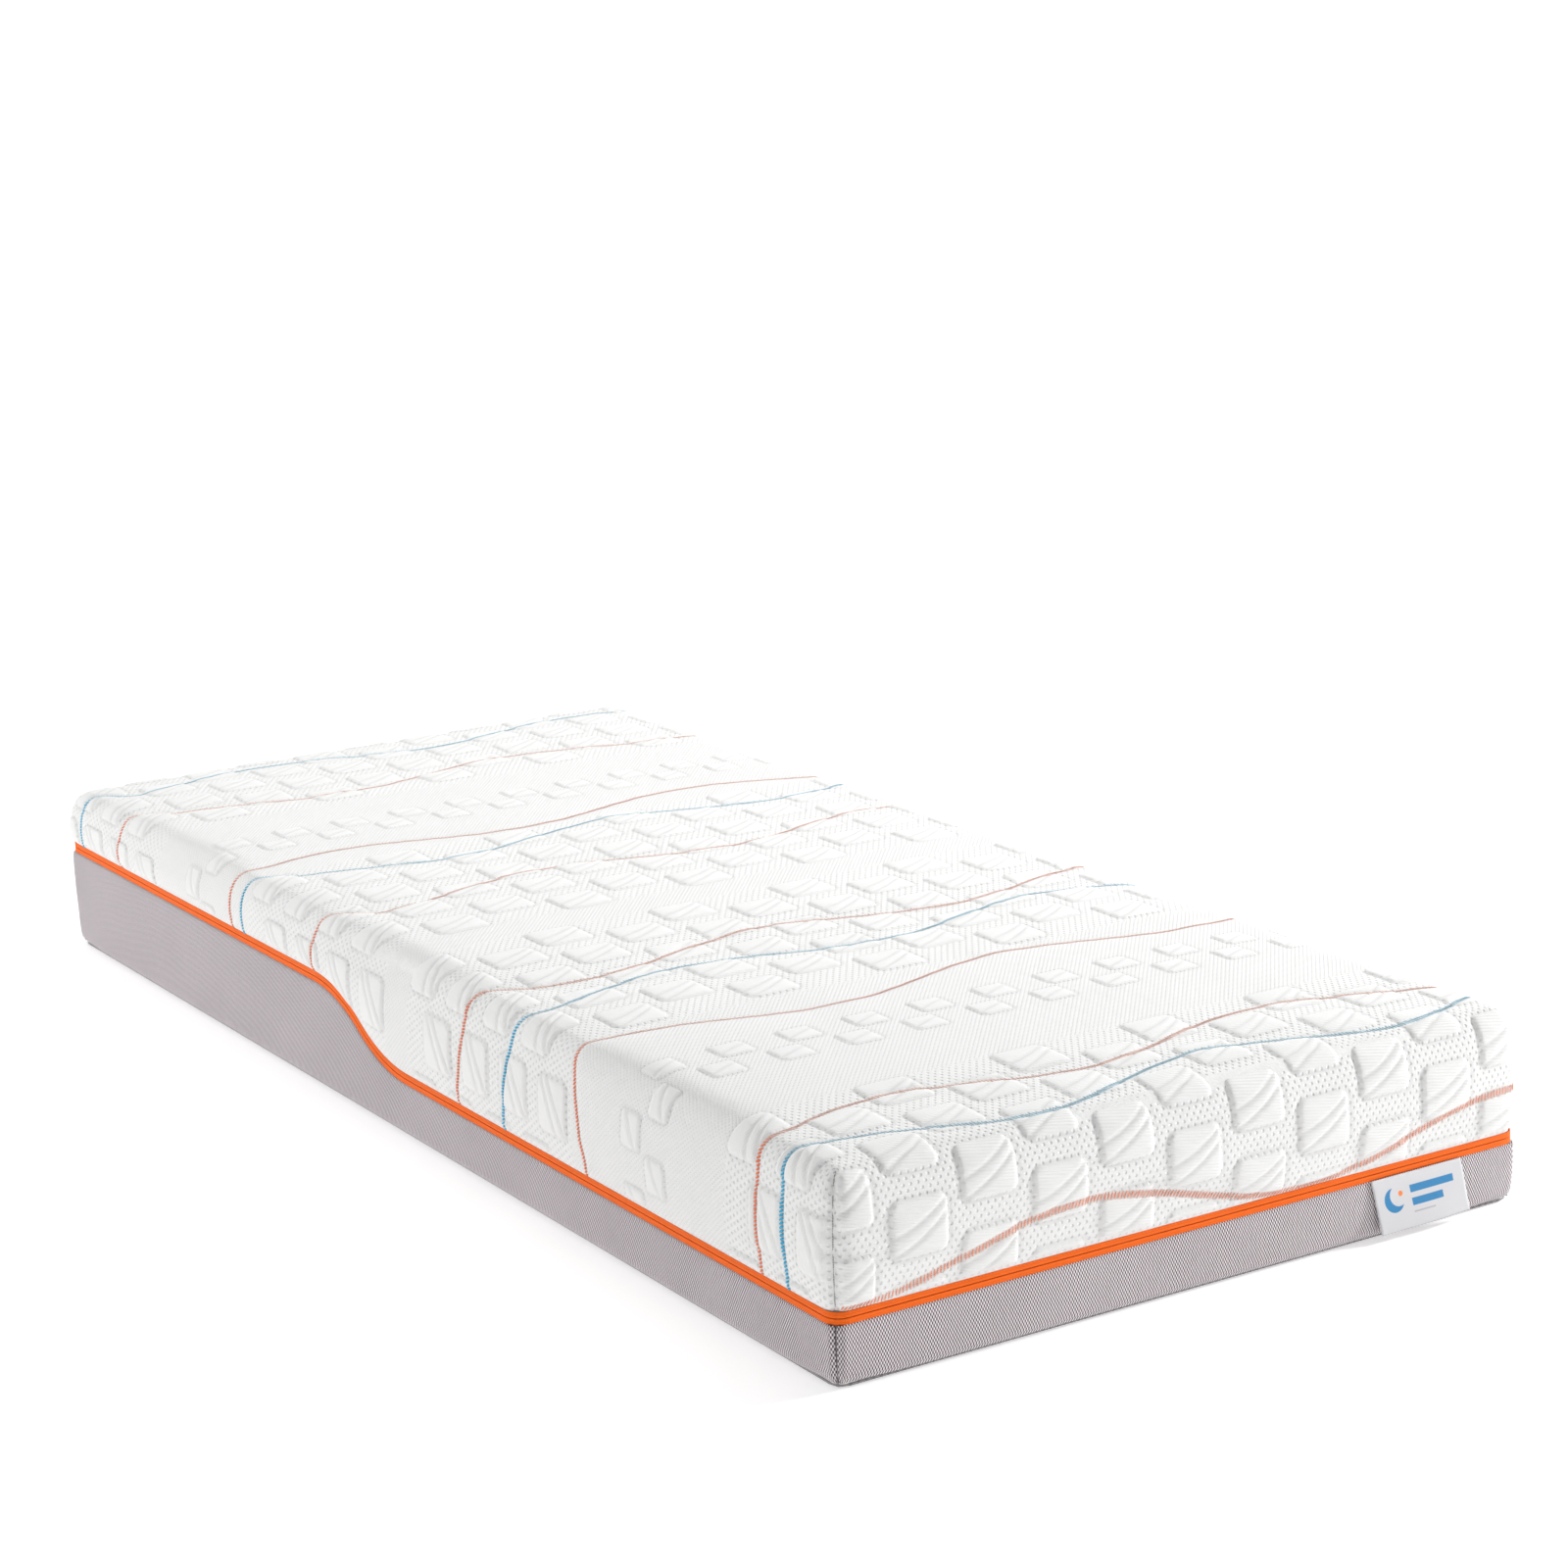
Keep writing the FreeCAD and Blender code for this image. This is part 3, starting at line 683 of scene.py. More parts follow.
panel_end = 2000
block_step = 172.0
small_step = 86.0
big_across, big_down, big_corner, big_puff = 34.0, 31.5, 11.0, 3.4
small_across, small_down, small_corner, small_puff = 21.0, 20.0, 6.0, 2.7
pressed = 0.9
big_blocks = [
    # across of one block, first row, step between rows, rows
    (-424.0, -127.0, 92.0, 5), (-338.0, -84.0, 93.5, 5),
    (-424.0, 663.0, 96.0, 4), (-338.0, 715.0, 92.5, 4),
    (-436.0, 1119.0, 92.0, 4), (-350.0, 1166.0, 92.0, 4),
    (-436.0, 1836.0, 92.0, 5), (-350.0, 1883.0, 90.5, 5),
]
small_blocks = [(-393.0, 453.0), (-435.0, 499.0), (-413.0, 1617.0), (-368.0, 1667.0)]
waves = [
    # middle of the line down the panel, across of one crest, wave length,
    # where it goes over the left edge, where it meets the zip there, colour
    (81.0, -180.0, 510.0, 58.0, 47.0, "blue"), (260.0, -410.0, 530.0, 195.0, 195.0, "salmon"),
    (592.0, -305.0, 525.0, 573.0, 569.0, "salmon"), (673.0, -430.0, 495.0, 610.0, 604.0, "blue"),
    (850.0, -130.0, 510.0, 833.0, 808.0, "salmon"), (1260.0, -60.0, 515.0, 1240.0, 1205.0, "salmon"),
    (1337.0, -210.0, 500.0, 1352.0, 1317.0, "blue"), (1518.0, -390.0, 500.0, 1478.0, 1506.0, "salmon"),
    (1864.0, -295.0, 490.0, 1862.0, 1868.0, "salmon"), (1944.0, -410.0, 475.0, 1908.0, 1918.0, "blue"),
    (2109.0, -150.0, 580.0, 2134.0, 2134.0, "salmon"),
]
wave_height = 26.0
left_edge = -450.0


def rounded(value):
    value = np.clip(value, 0, 1)
    return value * value * (3 - 2 * value)


def wave_at(wave, across):
    """How far down the panel a line of stitching runs, at a place across it. Over the right
    edge it runs straight down; over the left it bends to its own place at the zip."""
    middle, crest, length, edge, zip_end, _ = wave
    free = middle - wave_height * np.cos(2 * np.pi * (np.minimum(across, 432.0) - crest) / length)
    if middle > panel_end:
        return free
    drop = np.clip((left_edge + 20 - across) / 140, 0, 1)
    over = edge + (zip_end - edge) * drop
    share = rounded((across - left_edge - 2) / 75)
    return over * (1 - share) + free * share


def block_field(across, down, first_x, first_y, step_x, step_y, rows, half_w, half_h, corner, soft):
    """Puff from 0 to 1 of a lattice of rounded blocks, the place inside each block, and the
    distance outside its edge."""
    dx = across - first_x - step_x * np.round((across - first_x) / step_x)
    row = np.clip(np.round((down - first_y) / step_y), 0, rows - 1)
    dy = down - first_y - step_y * row
    qx = np.abs(dx) - half_w + corner
    qy = np.abs(dy) - half_h + corner
    gap = np.hypot(np.maximum(qx, 0), np.maximum(qy, 0)) + np.minimum(np.maximum(qx, qy), 0) - corner
    rise = np.clip(-gap / soft, 0, 1)
    dome = np.clip(-gap / half_h, 0, 1)
    puff = 0.62 * np.sqrt(np.maximum(0.0, 1 - (1 - rise) ** 2)) + 0.38 * (1 - (1 - dome) ** 2)
    return puff, dx / half_w, dy / half_h, gap


def quilting(across, down):
    """Height of the quilting in millimetres, how far a place is up on a block, how near it is
    to a line of stitching, and how much painted shade it gets in the tucks and along the block outlines."""
    height = np.zeros_like(across)
    puffed = np.zeros_like(across)
    tuck_shade = np.zeros_like(across)
    edge_line = np.zeros_like(across)

    def lay(puff, gap, groove, high, deep):
        """Lays one lattice of blocks, with their grooves, over what is there."""
        nonlocal height, puffed, tuck_shade, edge_line
        inside = np.clip(-gap / 3.0, 0, 1)
        height = np.maximum(height, high * puff - deep * groove * inside)
        puffed = np.maximum(puffed, inside)
        tuck_shade = np.maximum(tuck_shade, groove * inside)
        edge_line = np.maximum(edge_line, np.exp(-((gap - 0.8) / 2.2) ** 2))

    lying = np.clip((flat_x * 1000 + 16 - np.abs(across)) / 22, 0, 1)
    lying *= np.clip((flat_y * 1000 + 16 - np.abs(1000 - down)) / 22, 0, 1)
    for first_x, first_y, step, rows in big_blocks:
        puff, a, b, gap = block_field(across, down, first_x, first_y, block_step, step, rows,
                                      big_across, big_down, big_corner, 5.5 + 3.5 * lying)
        upper = (b - (-0.30 - 0.54 * a + 0.14 * (1 - a * a))) * big_down * 0.86
        lower = (b - (0.25 - 0.65 * a + 0.14 * (1 - a * a))) * big_down * 0.84
        groove = np.maximum(np.exp(-(upper / 2.0) ** 2), np.exp(-(lower / 2.0) ** 2))
        lay(puff, gap, groove, big_puff - pressed * lying, 1.9 - 0.3 * lying)
    for first_x, first_y in small_blocks:
        puff, a, b, gap = block_field(across, down, first_x, first_y, small_step, small_step, 1,
                                      small_across, small_down, small_corner, 5.0)
        groove = np.exp(-((b + 0.5 * a - 0.05) * 18.0 / 2.4) ** 2)
        lay(puff, gap, groove, small_puff - pressed * lying, 1.4)
    height -= 0.9 * edge_line * (1 - puffed)
    tuck_shade = np.maximum(tuck_shade, 0.9 * edge_line)
    sewn = {"salmon": np.zeros_like(across), "blue": np.zeros_like(across)}
    for wave in waves:
        steep = wave_at(wave, across + 0.5) - wave_at(wave, across - 0.5)
        gap = np.abs(down - wave_at(wave, across)) / np.sqrt(1 + steep ** 2)
        hangs = (down > panel_end - 25) & (np.abs(across) < 452)
        on = hangs if wave[0] > panel_end else (down < panel_end + 30) & (down > 0)
        sewn[wave[5]] = np.maximum(sewn[wave[5]], np.where(on, np.exp(-(gap / 4.2) ** 2), 0))
    seam = np.maximum(sewn["salmon"], sewn["blue"])
    height = height * (1 - 0.80 * seam) - 1.2 * seam
    return height, puffed * (1 - seam), sewn, np.clip(tuck_shade * (1 - seam), 0, 1)


def knit():
    f = Finish("white quilted knit")
    u, v, _ = f.across(f.lie())
    block, tuck, salmon, blue, field = (
        f.node("ShaderNodeAttribute", {"attribute_name": name}, out="Fac")
        for name in ("puff", "tuck", "salmon", "blue", "field"))

    def staggered(step, row, inner, outer):
        """Round dots in staggered rows: 1 at each centre."""
        near_x, near_y = u.wrap(step), v.wrap(2 * row)
        far_x, far_y = (u + step / 2).wrap(step), (v + row).wrap(2 * row)
        away = (near_x * near_x + near_y * near_y).least(far_x * far_x + far_y * far_y).power(0.5)
        return away.fade(inner, outer, 1.0, 0.0)

    # in the bands of blocks the ground has staggered round dimples, between the bands a finer
    # slanting dot; blocks have faint ribs, and fine knit loops run all over
    dimple = staggered(0.0088, 0.0064, 0.0006, 0.0024)
    dot = staggered(0.0060, 0.0036, 0.0004, 0.0015)
    # painted shade: the dimples and dots are painted darker in the colour as well as sunk in the bump
    hollow = (dimple * field + dot * (1 - field) * 0.75) * (1 - block)
    rib = (v + u * 0.18).ribs(0.0034)
    loops = u.ribs(0.0016) * v.ribs(0.0013)
    relief = hollow * -1.0 + rib * 0.12 * block + loops * 0.07
    mottle = f.speckle(f.lie(), 14.0, 2.0)
    # painted shade: the tucks, the block outlines and the corner seam groove, from the tuck attribute,
    # are painted darker
    shade = 1 - hollow * 0.10 - tuck * 0.11 + (mottle - 0.5) * 0.03
    cloth = f.tinted((0.84, 0.84, 0.832, 1), shade)
    cloth = f.blend(salmon * 0.28, cloth, (0.90, 0.70, 0.62, 1))
    cloth = f.blend(blue * 0.32, cloth, (0.52, 0.80, 0.88, 1))
    return f.wear(cloth, 0.9, f.raised(relief, 0.0010, 1.0), sheen_weight=0.12, sheen_roughness=0.5)


def read(items, what, width):
    """One row of numbers for each item of a mesh."""
    values = np.empty(len(items) * width, dtype=np.int64 if what in ("vertex_index", "loops") else float)
    items.foreach_get(what, values)
    return values.reshape(-1, width) if width > 1 else values


shell = placed("cover cage", skin(0.0, 0.0107, 4, 12, cover_rim))
cage = shell.data


def swell(shell, cap, pressure, held):
    """Lets air pressure swell the cover between its stitched lines, as the wadding does."""
    before = read(shell.data.vertices, "co", 3)
    group = shell.vertex_groups.new(name="held")
    for index, grip in enumerate(held):
        group.add([index], float(grip), "REPLACE")
    cloth = shell.modifiers.new("swell", "CLOTH")
    for setting, value in (("quality", 4), ("mass", 0.3), ("tension_stiffness", 20),
                           ("compression_stiffness", 20), ("shear_stiffness", 10),
                           ("bending_stiffness", 4), ("use_pressure", True),
                           ("uniform_pressure_force", pressure), ("vertex_group_mass", "held"),
                           ("pin_stiffness", 1.0)):
        setattr(cloth.settings, setting, value)
    cloth.settings.effector_weights.gravity = 0
    cloth.point_cache.frame_start = 1
    cloth.point_cache.frame_end = 20
    for number in range(1, 21):
        scene.frame_set(number)
    swollen = shell.evaluated_get(bpy.context.evaluated_depsgraph_get()).data
    move = read(swollen.vertices, "co", 3) - before
    far = np.linalg.norm(move, axis=1)
    move *= (cap * np.tanh(far / cap) / np.maximum(far, 1e-9))[:, None]
    shell.modifiers.remove(cloth)
    scene.frame_set(1)
    shell.data.vertices.foreach_set("co", (before + move).ravel())
    shell.data.update()


def cloth_lie(mesh):
    """Each vertex's place on the cut cloth, in metres."""
    spots = np.zeros((len(mesh.vertices), 2))
    spots[read(mesh.loops, "vertex_index", 1)] = read(mesh.uv_layers["weave"].data, "uv", 2)
    return spots


lie = cloth_lie(cage)
sewn = quilting(lie[:, 0] * 1000, 1000 - lie[:, 1] * 1000)[2]
sewn = np.maximum(sewn["salmon"], sewn["blue"])
rim = np.zeros(len(cage.vertices))
counts = {}
for polygon in cage.polygons:
    for key in polygon.edge_keys:
        counts[key] = counts.get(key, 0) + 1
for (a, b), count in counts.items():
    if count == 1:
        rim[a] = rim[b] = 1.0
swell(shell, swell_cap, swell_pressure, np.clip(np.maximum(rim, sewn), 0, 1))

finer = shell.modifiers.new("finer", "SUBSURF")
finer.levels = 2
finer.render_levels = 2
fine = bpy.data.meshes.new_from_object(shell.evaluated_get(bpy.context.evaluated_depsgraph_get()))
bpy.data.objects.remove(shell)
fine.name = "top_cover_knit"

spots = read(fine.vertices, "co", 3)
outward = read(fine.vertex_normals, "vector", 3)
lie = cloth_lie(fine)
down = 1000 - lie[:, 1] * 1000
height, puffed, sewn, tuck_shade = quilting(lie[:, 0] * 1000, down)
over_side = np.abs(lie[:, 0]) - flat_x
over_end = np.abs(lie[:, 1]) - flat_y
over = np.maximum(over_side, over_end)
arc = np.clip(over / edge_roll, 0, math.pi / 2)
reach = edge_roll * np.sin(arc)
reach -= corner_radius * np.clip(1.15 * np.sin(arc), 0.001, 1) ** 1.2 * corner_saves
corner_gap = np.where(over > 0, reach - np.minimum(over_side, over_end), 1.0)
rim_gap = spots[:, 2] - np.array([cover_rim(y) for y in spots[:, 1]])
calm = rounded(corner_gap / 0.014) * rounded(rim_gap / 0.012)
pucker = np.exp(-np.abs(corner_gap) / 0.02) * np.cos(2 * np.pi * over / 0.021) * rounded(over / 0.02)
seam = np.exp(-(corner_gap / 0.0035) ** 2) * rounded(over / 0.03)
push = height * calm * 0.001 - 0.0022 * seam + 0.0007 * pucker
push -= 0.0012 * np.exp(-(rim_gap / 0.004) ** 2)
fine.vertices.foreach_set("co", (spots + outward * push[:, None]).ravel())
field = np.zeros_like(down)
for first, last in ((-200, 345), (625, 1030), (1080, 1490), (1800, 2300)):
    field = np.maximum(field, rounded((down - first) / 12) * rounded((last - down) / 12))
# the tuck attribute carries painted shade: darker in the tucks, along the block outlines and in the
# corner seam groove
for label, values in (("puff", puffed * calm), ("tuck", np.clip(tuck_shade * calm + seam, 0, 1)),
                      ("salmon", sewn["salmon"] ** 2), ("blue", sewn["blue"] ** 2), ("field", field)):
    fine.attributes.new(label, "FLOAT", "POINT").data.foreach_set("value", values.astype(np.float32))
bm = bmesh.new()
bm.from_mesh(fine)
edges = rim_of(bm)
for inward, up in ((0.0016, -0.0002), (0.0032, 0.0008), (0.0006, 0.007)):
    edges, verts = extruded(bm, edges)
    for v in verts:
        corner_x = max(0.0, 0.03 - (mattress_half_width - abs(v.co.x)))
        corner_y = max(0.0, 0.03 - (mattress_half_length - abs(v.co.y)))
        way = Vector((math.copysign(corner_x, v.co.x), math.copysign(corner_y, v.co.y), 0))
        v.co += -way.normalized() * inward + Vector((0, 0, up))
cover = piece("top_cover_knit", bm, "upper_cover", knit())
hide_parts("top_cover_fabric")
bpy.data.meshes.remove(fine)


# ---- Wadding, lining and memory foam under the knit ----
# Polyester wadding and a thin lining follow the knit inside; the memory foam layer has the
# same crowned shape, so the cover lies on it without folds.

wadding_depth = 0.0030
lining_depth = 0.0056
foam_depth = 0.0072
comfort_top = 0.1690
inner_step = 0.027


def fibre(name, colour, scale):
    f = Finish(name)
    where = f.place()
    strands = f.speckle(where, scale, 4.0, 0.7)
    clumps = f.speckle(where, scale / 8, 2.0)
    return f.wear(f.tinted(colour, strands * 0.30 + clumps * 0.14 + 0.74), 0.95,
                  f.raised(strands, 0.0009, 0.6), sheen_weight=0.4)


def tricot():
    f = Finish("white lining tricot")
    u, v, _ = f.across(f.lie())
    loops = u.ribs(0.0024) * v.ribs(0.0020)
    return f.wear(f.tinted((0.80, 0.80, 0.79, 1), loops * 0.07 + 0.93), 0.85,
                  f.raised(loops, 0.0003), sheen_weight=0.3)


wadding = piece("top_cover_fill", skin(wadding_depth, inner_step, 5, 4, lambda y: cover_rim(y) + 0.0012),
                "upper_cover", fibre("white wadding", (0.84, 0.84, 0.83, 1), 260.0))
thickened(wadding, 0.0020)
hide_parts("top_cover_wadding")
lining = piece("top_cover_inner", skin(lining_depth, inner_step, 5, 4, lambda y: cover_rim(y) + 0.0010),
               "upper_cover", tricot())
thickened(lining, 0.0005)
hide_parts("top_cover_lining")

bm = skin(foam_depth, inner_step, 5, 1, lambda y: comfort_top)
bmesh.ops.contextual_create(bm, geom=rim_of(bm))
bmesh.ops.recalc_face_normals(bm, faces=bm.faces[:])
memory = piece("memory_foam", bm, "core",
               open_foam("memory foam", (0.88, 0.87, 0.83, 1), (0.66, 0.65, 0.60, 1), 0.0013))
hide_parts("memory_foam_layer")


# ---- Quilting thread ----
# Thick embroidery thread, salmon and blue: short separate bars laid side by side across each
# wave, sunk a little into the knit.

def stitch_thread(name, colour, dark):
    f = Finish(name)
    x, y, z = f.across(f.place())
    strand = (x * 0.8 + y + z * 0.6).ribs(0.0011)
    # painted light and shade: thread lying on the top is painted paler, and thread hanging down the long
    # sides is painted in its dark colour
    side_painted_shade = x.size().fade(flat_x + 0.008, flat_x + 0.020) * y.size().fade(flat_y, flat_y + 0.010, 1.0, 0.0)
    lying = z.fade(cover_top - 0.010, cover_top - 0.003)
    top_painted_light = f.blend(lying * 0.42, f.blend(strand.fade(-1.0, 1.0), dark, colour), (0.85, 0.84, 0.83, 1))
    return f.wear(f.blend(side_painted_shade, top_painted_light, dark), 0.5,
                  f.raised(strand, 0.0002, 0.6), sheen_weight=0.05)


threads = {
    "salmon": stitch_thread("salmon thread", (0.95, 0.50, 0.36, 1), (0.80, 0.19, 0.075, 1)),
    "blue": stitch_thread("blue thread", (0.30, 0.66, 0.80, 1), (0.015, 0.39, 0.64, 1)),
}
stitch_step = 4.2
stitch_half = 3.7
knit_mesh = cover.data
knit_mesh.calc_loop_triangles()
loops = read(knit_mesh.loop_triangles, "loops", 3)
tri_lie = read(knit_mesh.uv_layers["weave"].data, "uv", 2)[loops]
tri_down = (1 - tri_lie[:, :, 1]) * 1000
near = np.zeros(len(tri_lie), dtype=bool)
for wave in waves:
    gap = np.abs(tri_down - wave_at(wave, tri_lie[:, :, 0] * 1000)).min(axis=1)
    near |= gap < 14
low_u = np.abs(tri_lie[:, :, 0]).min(axis=1) - flat_x
low_v = np.abs(tri_lie[:, :, 1]).min(axis=1) - flat_y
near |= (low_u > 0.003) & (low_v > -0.004)
area = np.abs(np.cross(tri_lie[:, 1] - tri_lie[:, 0], tri_lie[:, 2] - tri_lie[:, 0]))
near &= area > 1e-9
kept = np.nonzero(near)[0]
flat_tris = tri_lie[kept]
solid_tris = read(knit_mesh.vertices, "co", 3)[read(knit_mesh.loops, "vertex_index", 1)[loops[kept]]]
flat_verts = [(a, b, 0.0) for a, b in flat_tris.reshape(-1, 2)]
chart = BVHTree.FromPolygons(flat_verts, [(i * 3, i * 3 + 1, i * 3 + 2) for i in range(len(kept))])


def on_cover(u, v):
    """The place and outward direction on the finished cover of a place on the cut cloth."""
    found, _, index, _ = chart.find_nearest(Vector((u, v, 0.0)), 0.004)
    if found is None:
        return None
    flat = [Vector((p[0], p[1], 0.0)) for p in flat_tris[index]]
    solid = [Vector(p) for p in solid_tris[index]]
    facing = (solid[1] - solid[0]).cross(solid[2] - solid[0]).normalized()
    return barycentric_transform(found, *flat, *solid), facing


bm = bmesh.new()
bmesh.ops.create_uvsphere(bm, u_segments=6, v_segments=5, radius=1.0,
                          matrix=Matrix.Rotation(math.pi / 2, 4, "Y"))
one_stitch = bpy.data.meshes.new("one stitch")
bm.to_mesh(one_stitch)
bm.free()


def seam_thread():
    f = Finish("grey cover seam")
    _, _, z = f.across(f.place())
    twist = z.ribs(0.0026)
    return f.wear(f.tinted((0.46, 0.46, 0.45, 1), twist * 0.3 + 0.85), 0.8, f.raised(twist, 0.0003))


sewing = {"salmon": bmesh.new(), "blue": bmesh.new()}
for wave in waves:
    on_end = wave[0] > panel_end
    lean = -0.26 if on_end else 0.50
    across = -640.0
    while across < 640.0:
        slope = float(wave_at(wave, across + 0.5) - wave_at(wave, across - 0.5))
        down = float(wave_at(wave, across))
        turned = math.atan(slope) + math.pi / 2 - lean
        half = stitch_half + 0.9 * on_end
        step_x, step_y = math.cos(turned) * half, math.sin(turned) * half
        inside = abs(across) < 443 if on_end else True
        first, last = (on_cover((across + way * step_x) / 1000, 1 - (down + way * step_y) / 1000)
                       if inside else None for way in (-1, 1))
        if first and last and (first[0] - last[0]).length < 0.012:
            along = (last[0] - first[0]).normalized()
            up = (first[1] + last[1]).normalized()
            beside = up.cross(along).normalized()
            up = along.cross(beside)
            laid = Matrix((along, beside, up)).transposed().to_4x4()
            lying = max(0.0, up.z) ** 2
            thick = 0.0009 if on_end else 0.0014 - 0.0006 * lying
            size = Matrix.Diagonal((half * 0.001, thick, thick * 0.45, 1))
            spot = (first[0] + last[0]) / 2 + up * (0.0003 - 0.00025 * max(0.0, up.z))
            stitch = one_stitch.copy()
            stitch.transform(Matrix.Translation(spot) @ laid @ size)
            sewing[wave[5]].from_mesh(stitch)
            bpy.data.meshes.remove(stitch)
        across += stitch_step / math.hypot(1, slope)
bpy.data.meshes.remove(one_stitch)
for colour, bm in sewing.items():
    piece(f"quilting_thread_{colour}", bm, "upper_cover", threads[colour])


# ---- Corner seams of the cover ----
# The panel is sewn up each corner from the zip to just over the edge, with grey thread. The
# seam pulls the knit in, so it lies in a shallow groove.

bm = bmesh.new()
for side in (-1, 1):
    for end in (-1, 1):
        trail = []
        for step in range(60):
            depth = 0.010 + step * 0.0035
            roll_arc = min(depth / edge_roll, math.pi / 2)
            saved = corner_at(roll_arc, corner_radius) * corner_saves
            along = flat_y + edge_roll * math.sin(roll_arc) - saved - 0.0004
            hit = on_cover(side * (flat_x + depth), end * along)
            if hit:
                trail.append(hit[0] + Vector((side, end, 0)).normalized() * 0.0001)
        sewn_cord(bm, trail, 0.0006)
closed_cords(bm)
piece("cover_corner_seams", bm, "upper_cover", seam_thread())


# ---- Zip slider, pull and end tab ----
# Die-cast slider and pull at the head end, lacquered orange, and the folded tape tab that
# the zip starts from.

def lacquer():
    f = Finish("orange lacquered metal")
    grain = f.speckle(f.place(), 420.0, 3.0)
    return f.wear(f.tinted((0.90, 0.14, 0.015, 1), grain * 0.2 + 0.88), grain * 0.16 + 0.22,
                  f.raised(grain, 0.0001, 0.4), metallic=0.35, coat_weight=0.5)


def tab_cloth():
    f = Finish("orange tab tape")
    x, _, z = f.across(f.place())
    rib = x.ribs(0.0012) * z.ribs(0.0012)
    return f.wear(f.tinted((0.95, 0.14, 0.012, 1), rib * 0.12 + 0.88), 0.65, f.raised(rib, 0.0002))


metal = lacquer()
for node, finish in (("zip_slider", metal), ("zip_pull", metal), ("zip_end_tab", tab_cloth())):
    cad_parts[node].data.materials.clear()
    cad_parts[node].data.materials.append(finish)


# ---- Label ----
# White woven satin, folded and sewn into the zip seam at the foot; it hangs free, a little
# skewed, with its lower edge standing off the border. A moon and plain bars are woven in.

label_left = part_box("label")[0][0]
label_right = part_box("label")[1][0]
label_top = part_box("label")[1][2]
label_drop = 0.0602


def satin():
    f = Finish("woven satin label")
    u, v, _ = f.across(f.lie())
    thread = u.ribs(0.0008) * 0.5 + v.ribs(0.0011) * 0.5

    def disc(x, y, r):
        away = ((u - x) * (u - x) + (v - y) * (v - y)).power(0.5)
        return away.fade(r - 0.0004, r + 0.0004, 1.0, 0.0)

    def bar(x0, x1, line, half):
        """A straight bar between x0 and x1."""
        long = (x1 - x0) / 2
        inside = (u - (x0 + x1) / 2).size().fade(long - 0.0004, long + 0.0004, 1.0, 0.0)
        return inside * (v - line).size().fade(half - 0.0003, half + 0.0003, 1.0, 0.0)

    moon = disc(0.026, 0.034, 0.0135) * (1 - disc(0.0325, 0.038, 0.0115))
    star = disc(0.036, 0.040, 0.0030)
    bars = bar(0.050, 0.112, 0.042, 0.0042).most(bar(0.050, 0.094, 0.0275, 0.0042))
    small = bar(0.050, 0.080, 0.0165, 0.0009)
    cloth = f.tinted((0.68, 0.68, 0.70, 1), thread * 0.05 + 0.96)
    cloth = f.blend(moon.most(bars), cloth, (0.0, 0.21, 0.48, 1))
    cloth = f.blend(star, cloth, (1.0, 0.22, 0.02, 1))
    cloth = f.blend(small, cloth, (0.45, 0.45, 0.48, 1))
    return f.wear(cloth, 0.42, f.raised(thread, 0.00012), sheen_weight=0.05)


bm = bmesh.new()
bmesh.ops.create_grid(bm, x_segments=40, y_segments=20, size=1.0)
cut = {}
for v in bm.verts:
    share = (v.co.x + 1) / 2
    fall = (1 - v.co.y) / 2
    cut[v] = (share * (label_right - label_left), (1 - fall) * label_drop)
    curl = 0.0012 + 0.0024 * (1 - math.exp(-fall / 0.13)) + (0.0085 - 0.0025 * share) * fall ** 1.3
    curl += 0.0014 * math.sin(math.pi * share) * fall
    v.co = (label_left + share * (label_right - label_left) + 0.0085 * fall - 0.0016,
            -1.0 - curl + 0.0006 * math.sin(share * 7.0) * fall,
            label_top + 0.0006 - fall * label_drop + 0.0016 * (share - 0.5) * fall)
charted(bm, cut)
turned_out(bm, lambda face: (0, -1, 0))
tag = piece("care_label", bm, "label_flap", satin())
thickened(tag, 0.0006)
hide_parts("label")


# ---- Studio ----
# A bright white floor that curves up into a wall, and wide soft lights. The camera stands
# beyond the foot end, to the left, and looks a little down.

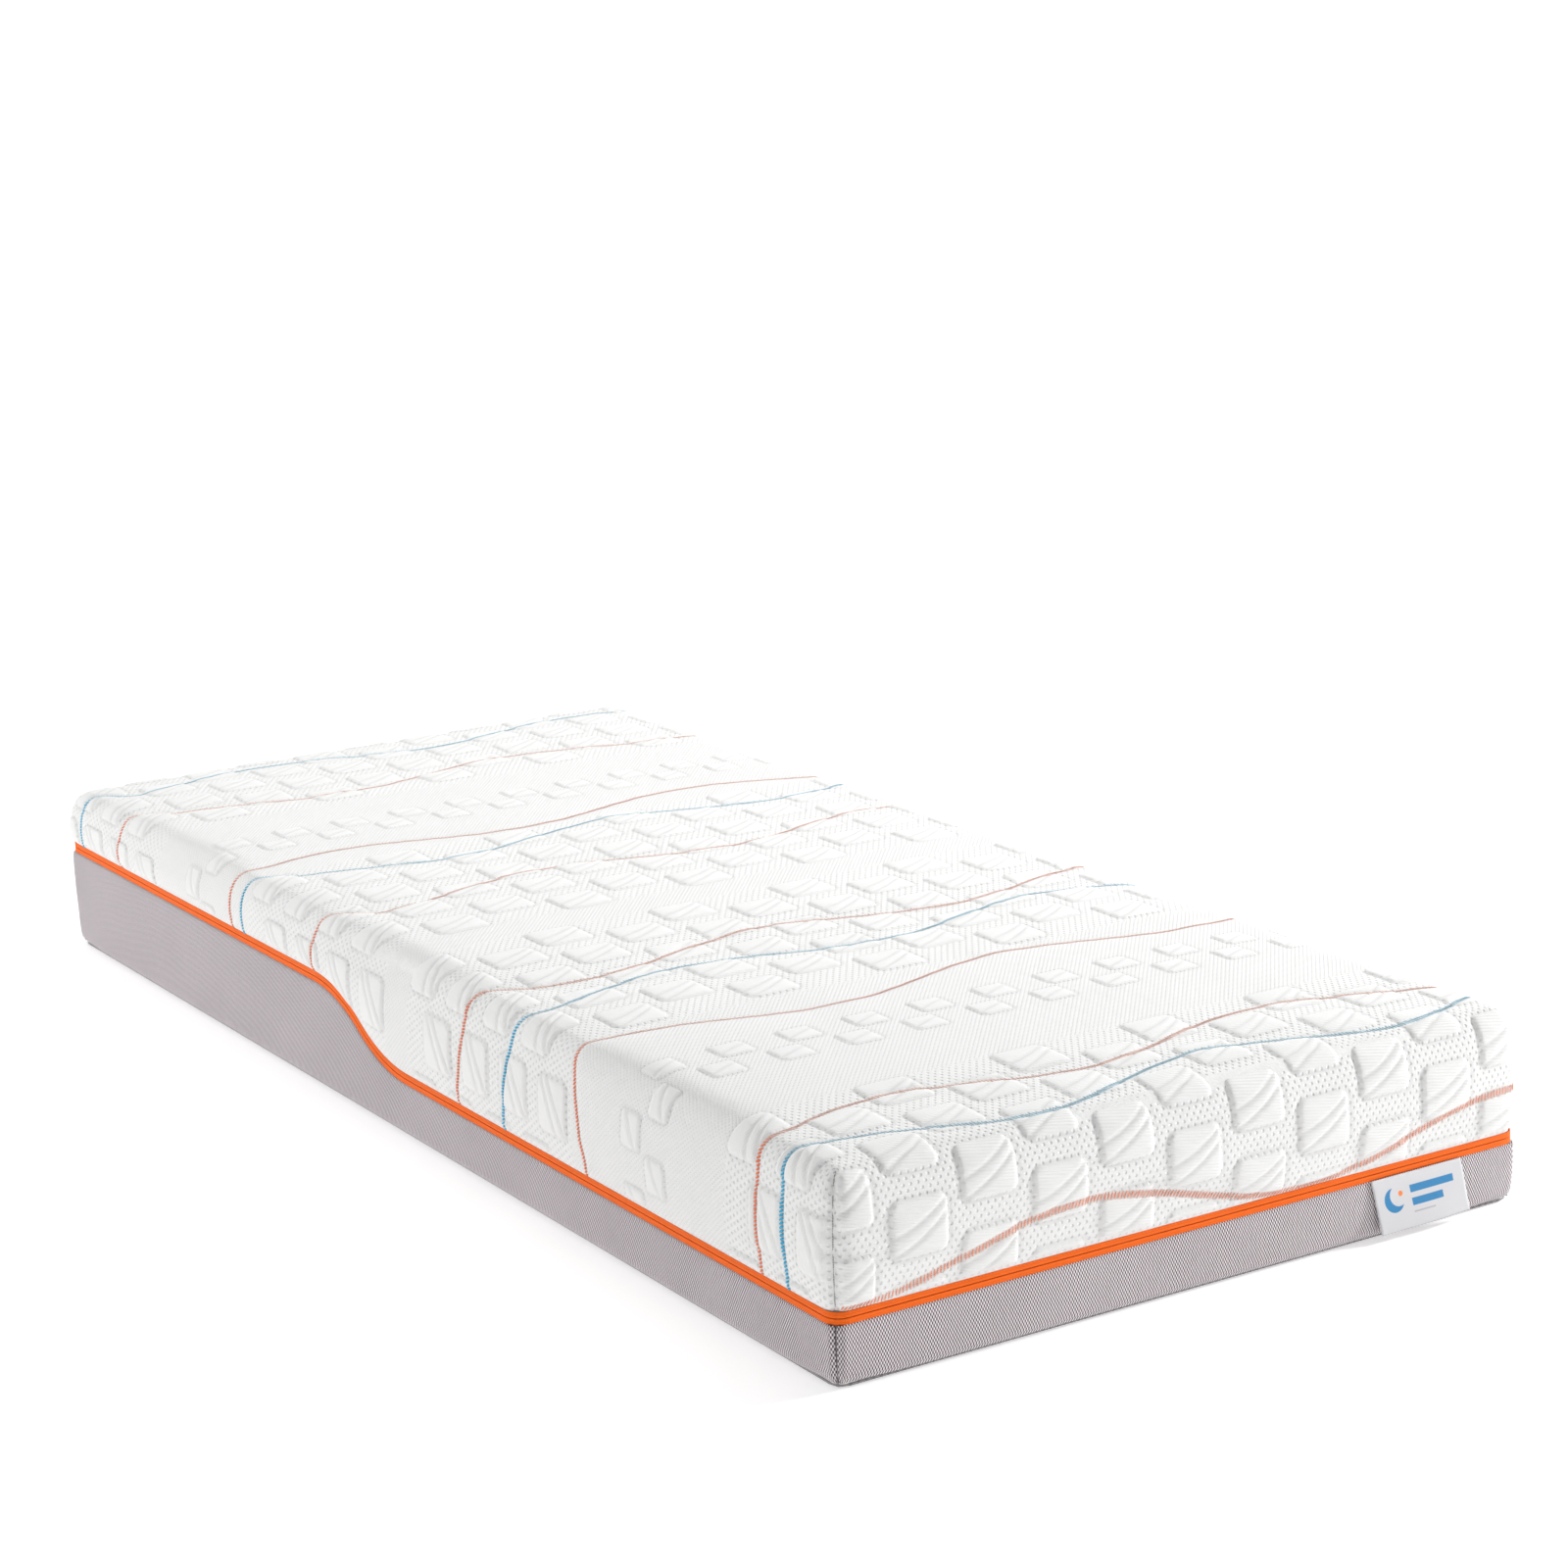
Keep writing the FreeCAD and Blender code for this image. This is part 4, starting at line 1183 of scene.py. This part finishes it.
bm = bmesh.new()
rings = [(9.0, 0.0), (10.0, 0.25), (10.8, 1.0), (11.0, 2.2), (11.0, 5.0)]
bmesh.ops.create_circle(bm, segments=96, radius=rings[0][0], cap_ends=True)
edges = rim_of(bm)
for radius, height in rings[1:]:
    edges, verts = extruded(bm, edges)
    for v in verts:
        flat = Vector((v.co.x, v.co.y, 0)).normalized() * radius
        v.co = (flat.x, flat.y, height)
floor = placed("floor", bm)
floor.location.z = -0.0005
f = Finish("studio floor")
x, y, z = f.across(f.place())
# painted light: the floor glows evenly, and its wall glows brighter behind, to the back right, and dimmer
# to the front left
wall = z.fade(0.0, 0.8)
glow = f.blend(wall, (0.55, 0.55, 0.55, 1),
               f.blend((x * 0.55 + y * 0.83).fade(-9.0, 3.0), (0.20, 0.20, 0.20, 1), (1.0, 1.0, 1.0, 1)))
floor.data.materials.append(f.wear((0.80, 0.80, 0.80, 1), 0.9, emission_strength=0.83))
f.tree.links.new(glow.socket, f.surface.inputs["Emission Color"])

world = bpy.data.worlds.new("studio")
scene.world = world
world.use_nodes = True
world.node_tree.nodes["Background"].inputs[0].default_value = (1, 1, 1, 1)
world.node_tree.nodes["Background"].inputs[1].default_value = 0.27


def soft_light(name, spot, aim, width, height, power):
    lamp = bpy.data.lights.new(name, "AREA")
    lamp.shape = "RECTANGLE"
    lamp.size = width
    lamp.size_y = height
    lamp.energy = power
    made = bpy.data.objects.new(name, lamp)
    made.location = spot
    made.rotation_euler = (Vector(aim) - Vector(spot)).to_track_quat("-Z", "Y").to_euler()
    scene.collection.objects.link(made)


soft_light("key_light", (4.2, -1.9, 1.9), (0, -0.2, 0.1), 0.75, 0.75, 196)
soft_light("left_back_light", (-3.6, 3.0, 1.6), (0, 0.4, 0.1), 1.8, 1.6, 50)
soft_light("overhead_light", (0.4, 0.6, 3.0), (0.4, 0.6, 0.0), 3.0, 3.0, 50)

turn = math.radians(-31.776)
tilt = math.radians(13.747)
roll = math.radians(-1.826)
back = Vector((math.sin(turn) * math.cos(tilt), -math.cos(turn) * math.cos(tilt), math.sin(tilt)))
right = (-back).cross(Vector((0, 0, 1))).normalized()
upward = right.cross(-back)
across_view = right * math.cos(roll) + upward * math.sin(roll)
up_view = upward * math.cos(roll) - right * math.sin(roll)
lens = bpy.data.cameras.new("camera")
lens.sensor_width = 36.0
lens.lens = 82.69
lens.clip_end = 60.0
camera = bpy.data.objects.new("camera", lens)
aim = Vector((0.635, 0.8118, 0.1))
camera_away = 5.5566
stand = aim + back * camera_away
facing = Matrix((across_view, up_view, back)).transposed().to_4x4()
camera.matrix_world = Matrix.Translation(stand) @ facing
scene.collection.objects.link(camera)
scene.camera = camera
scene.view_settings.view_transform = "Standard"
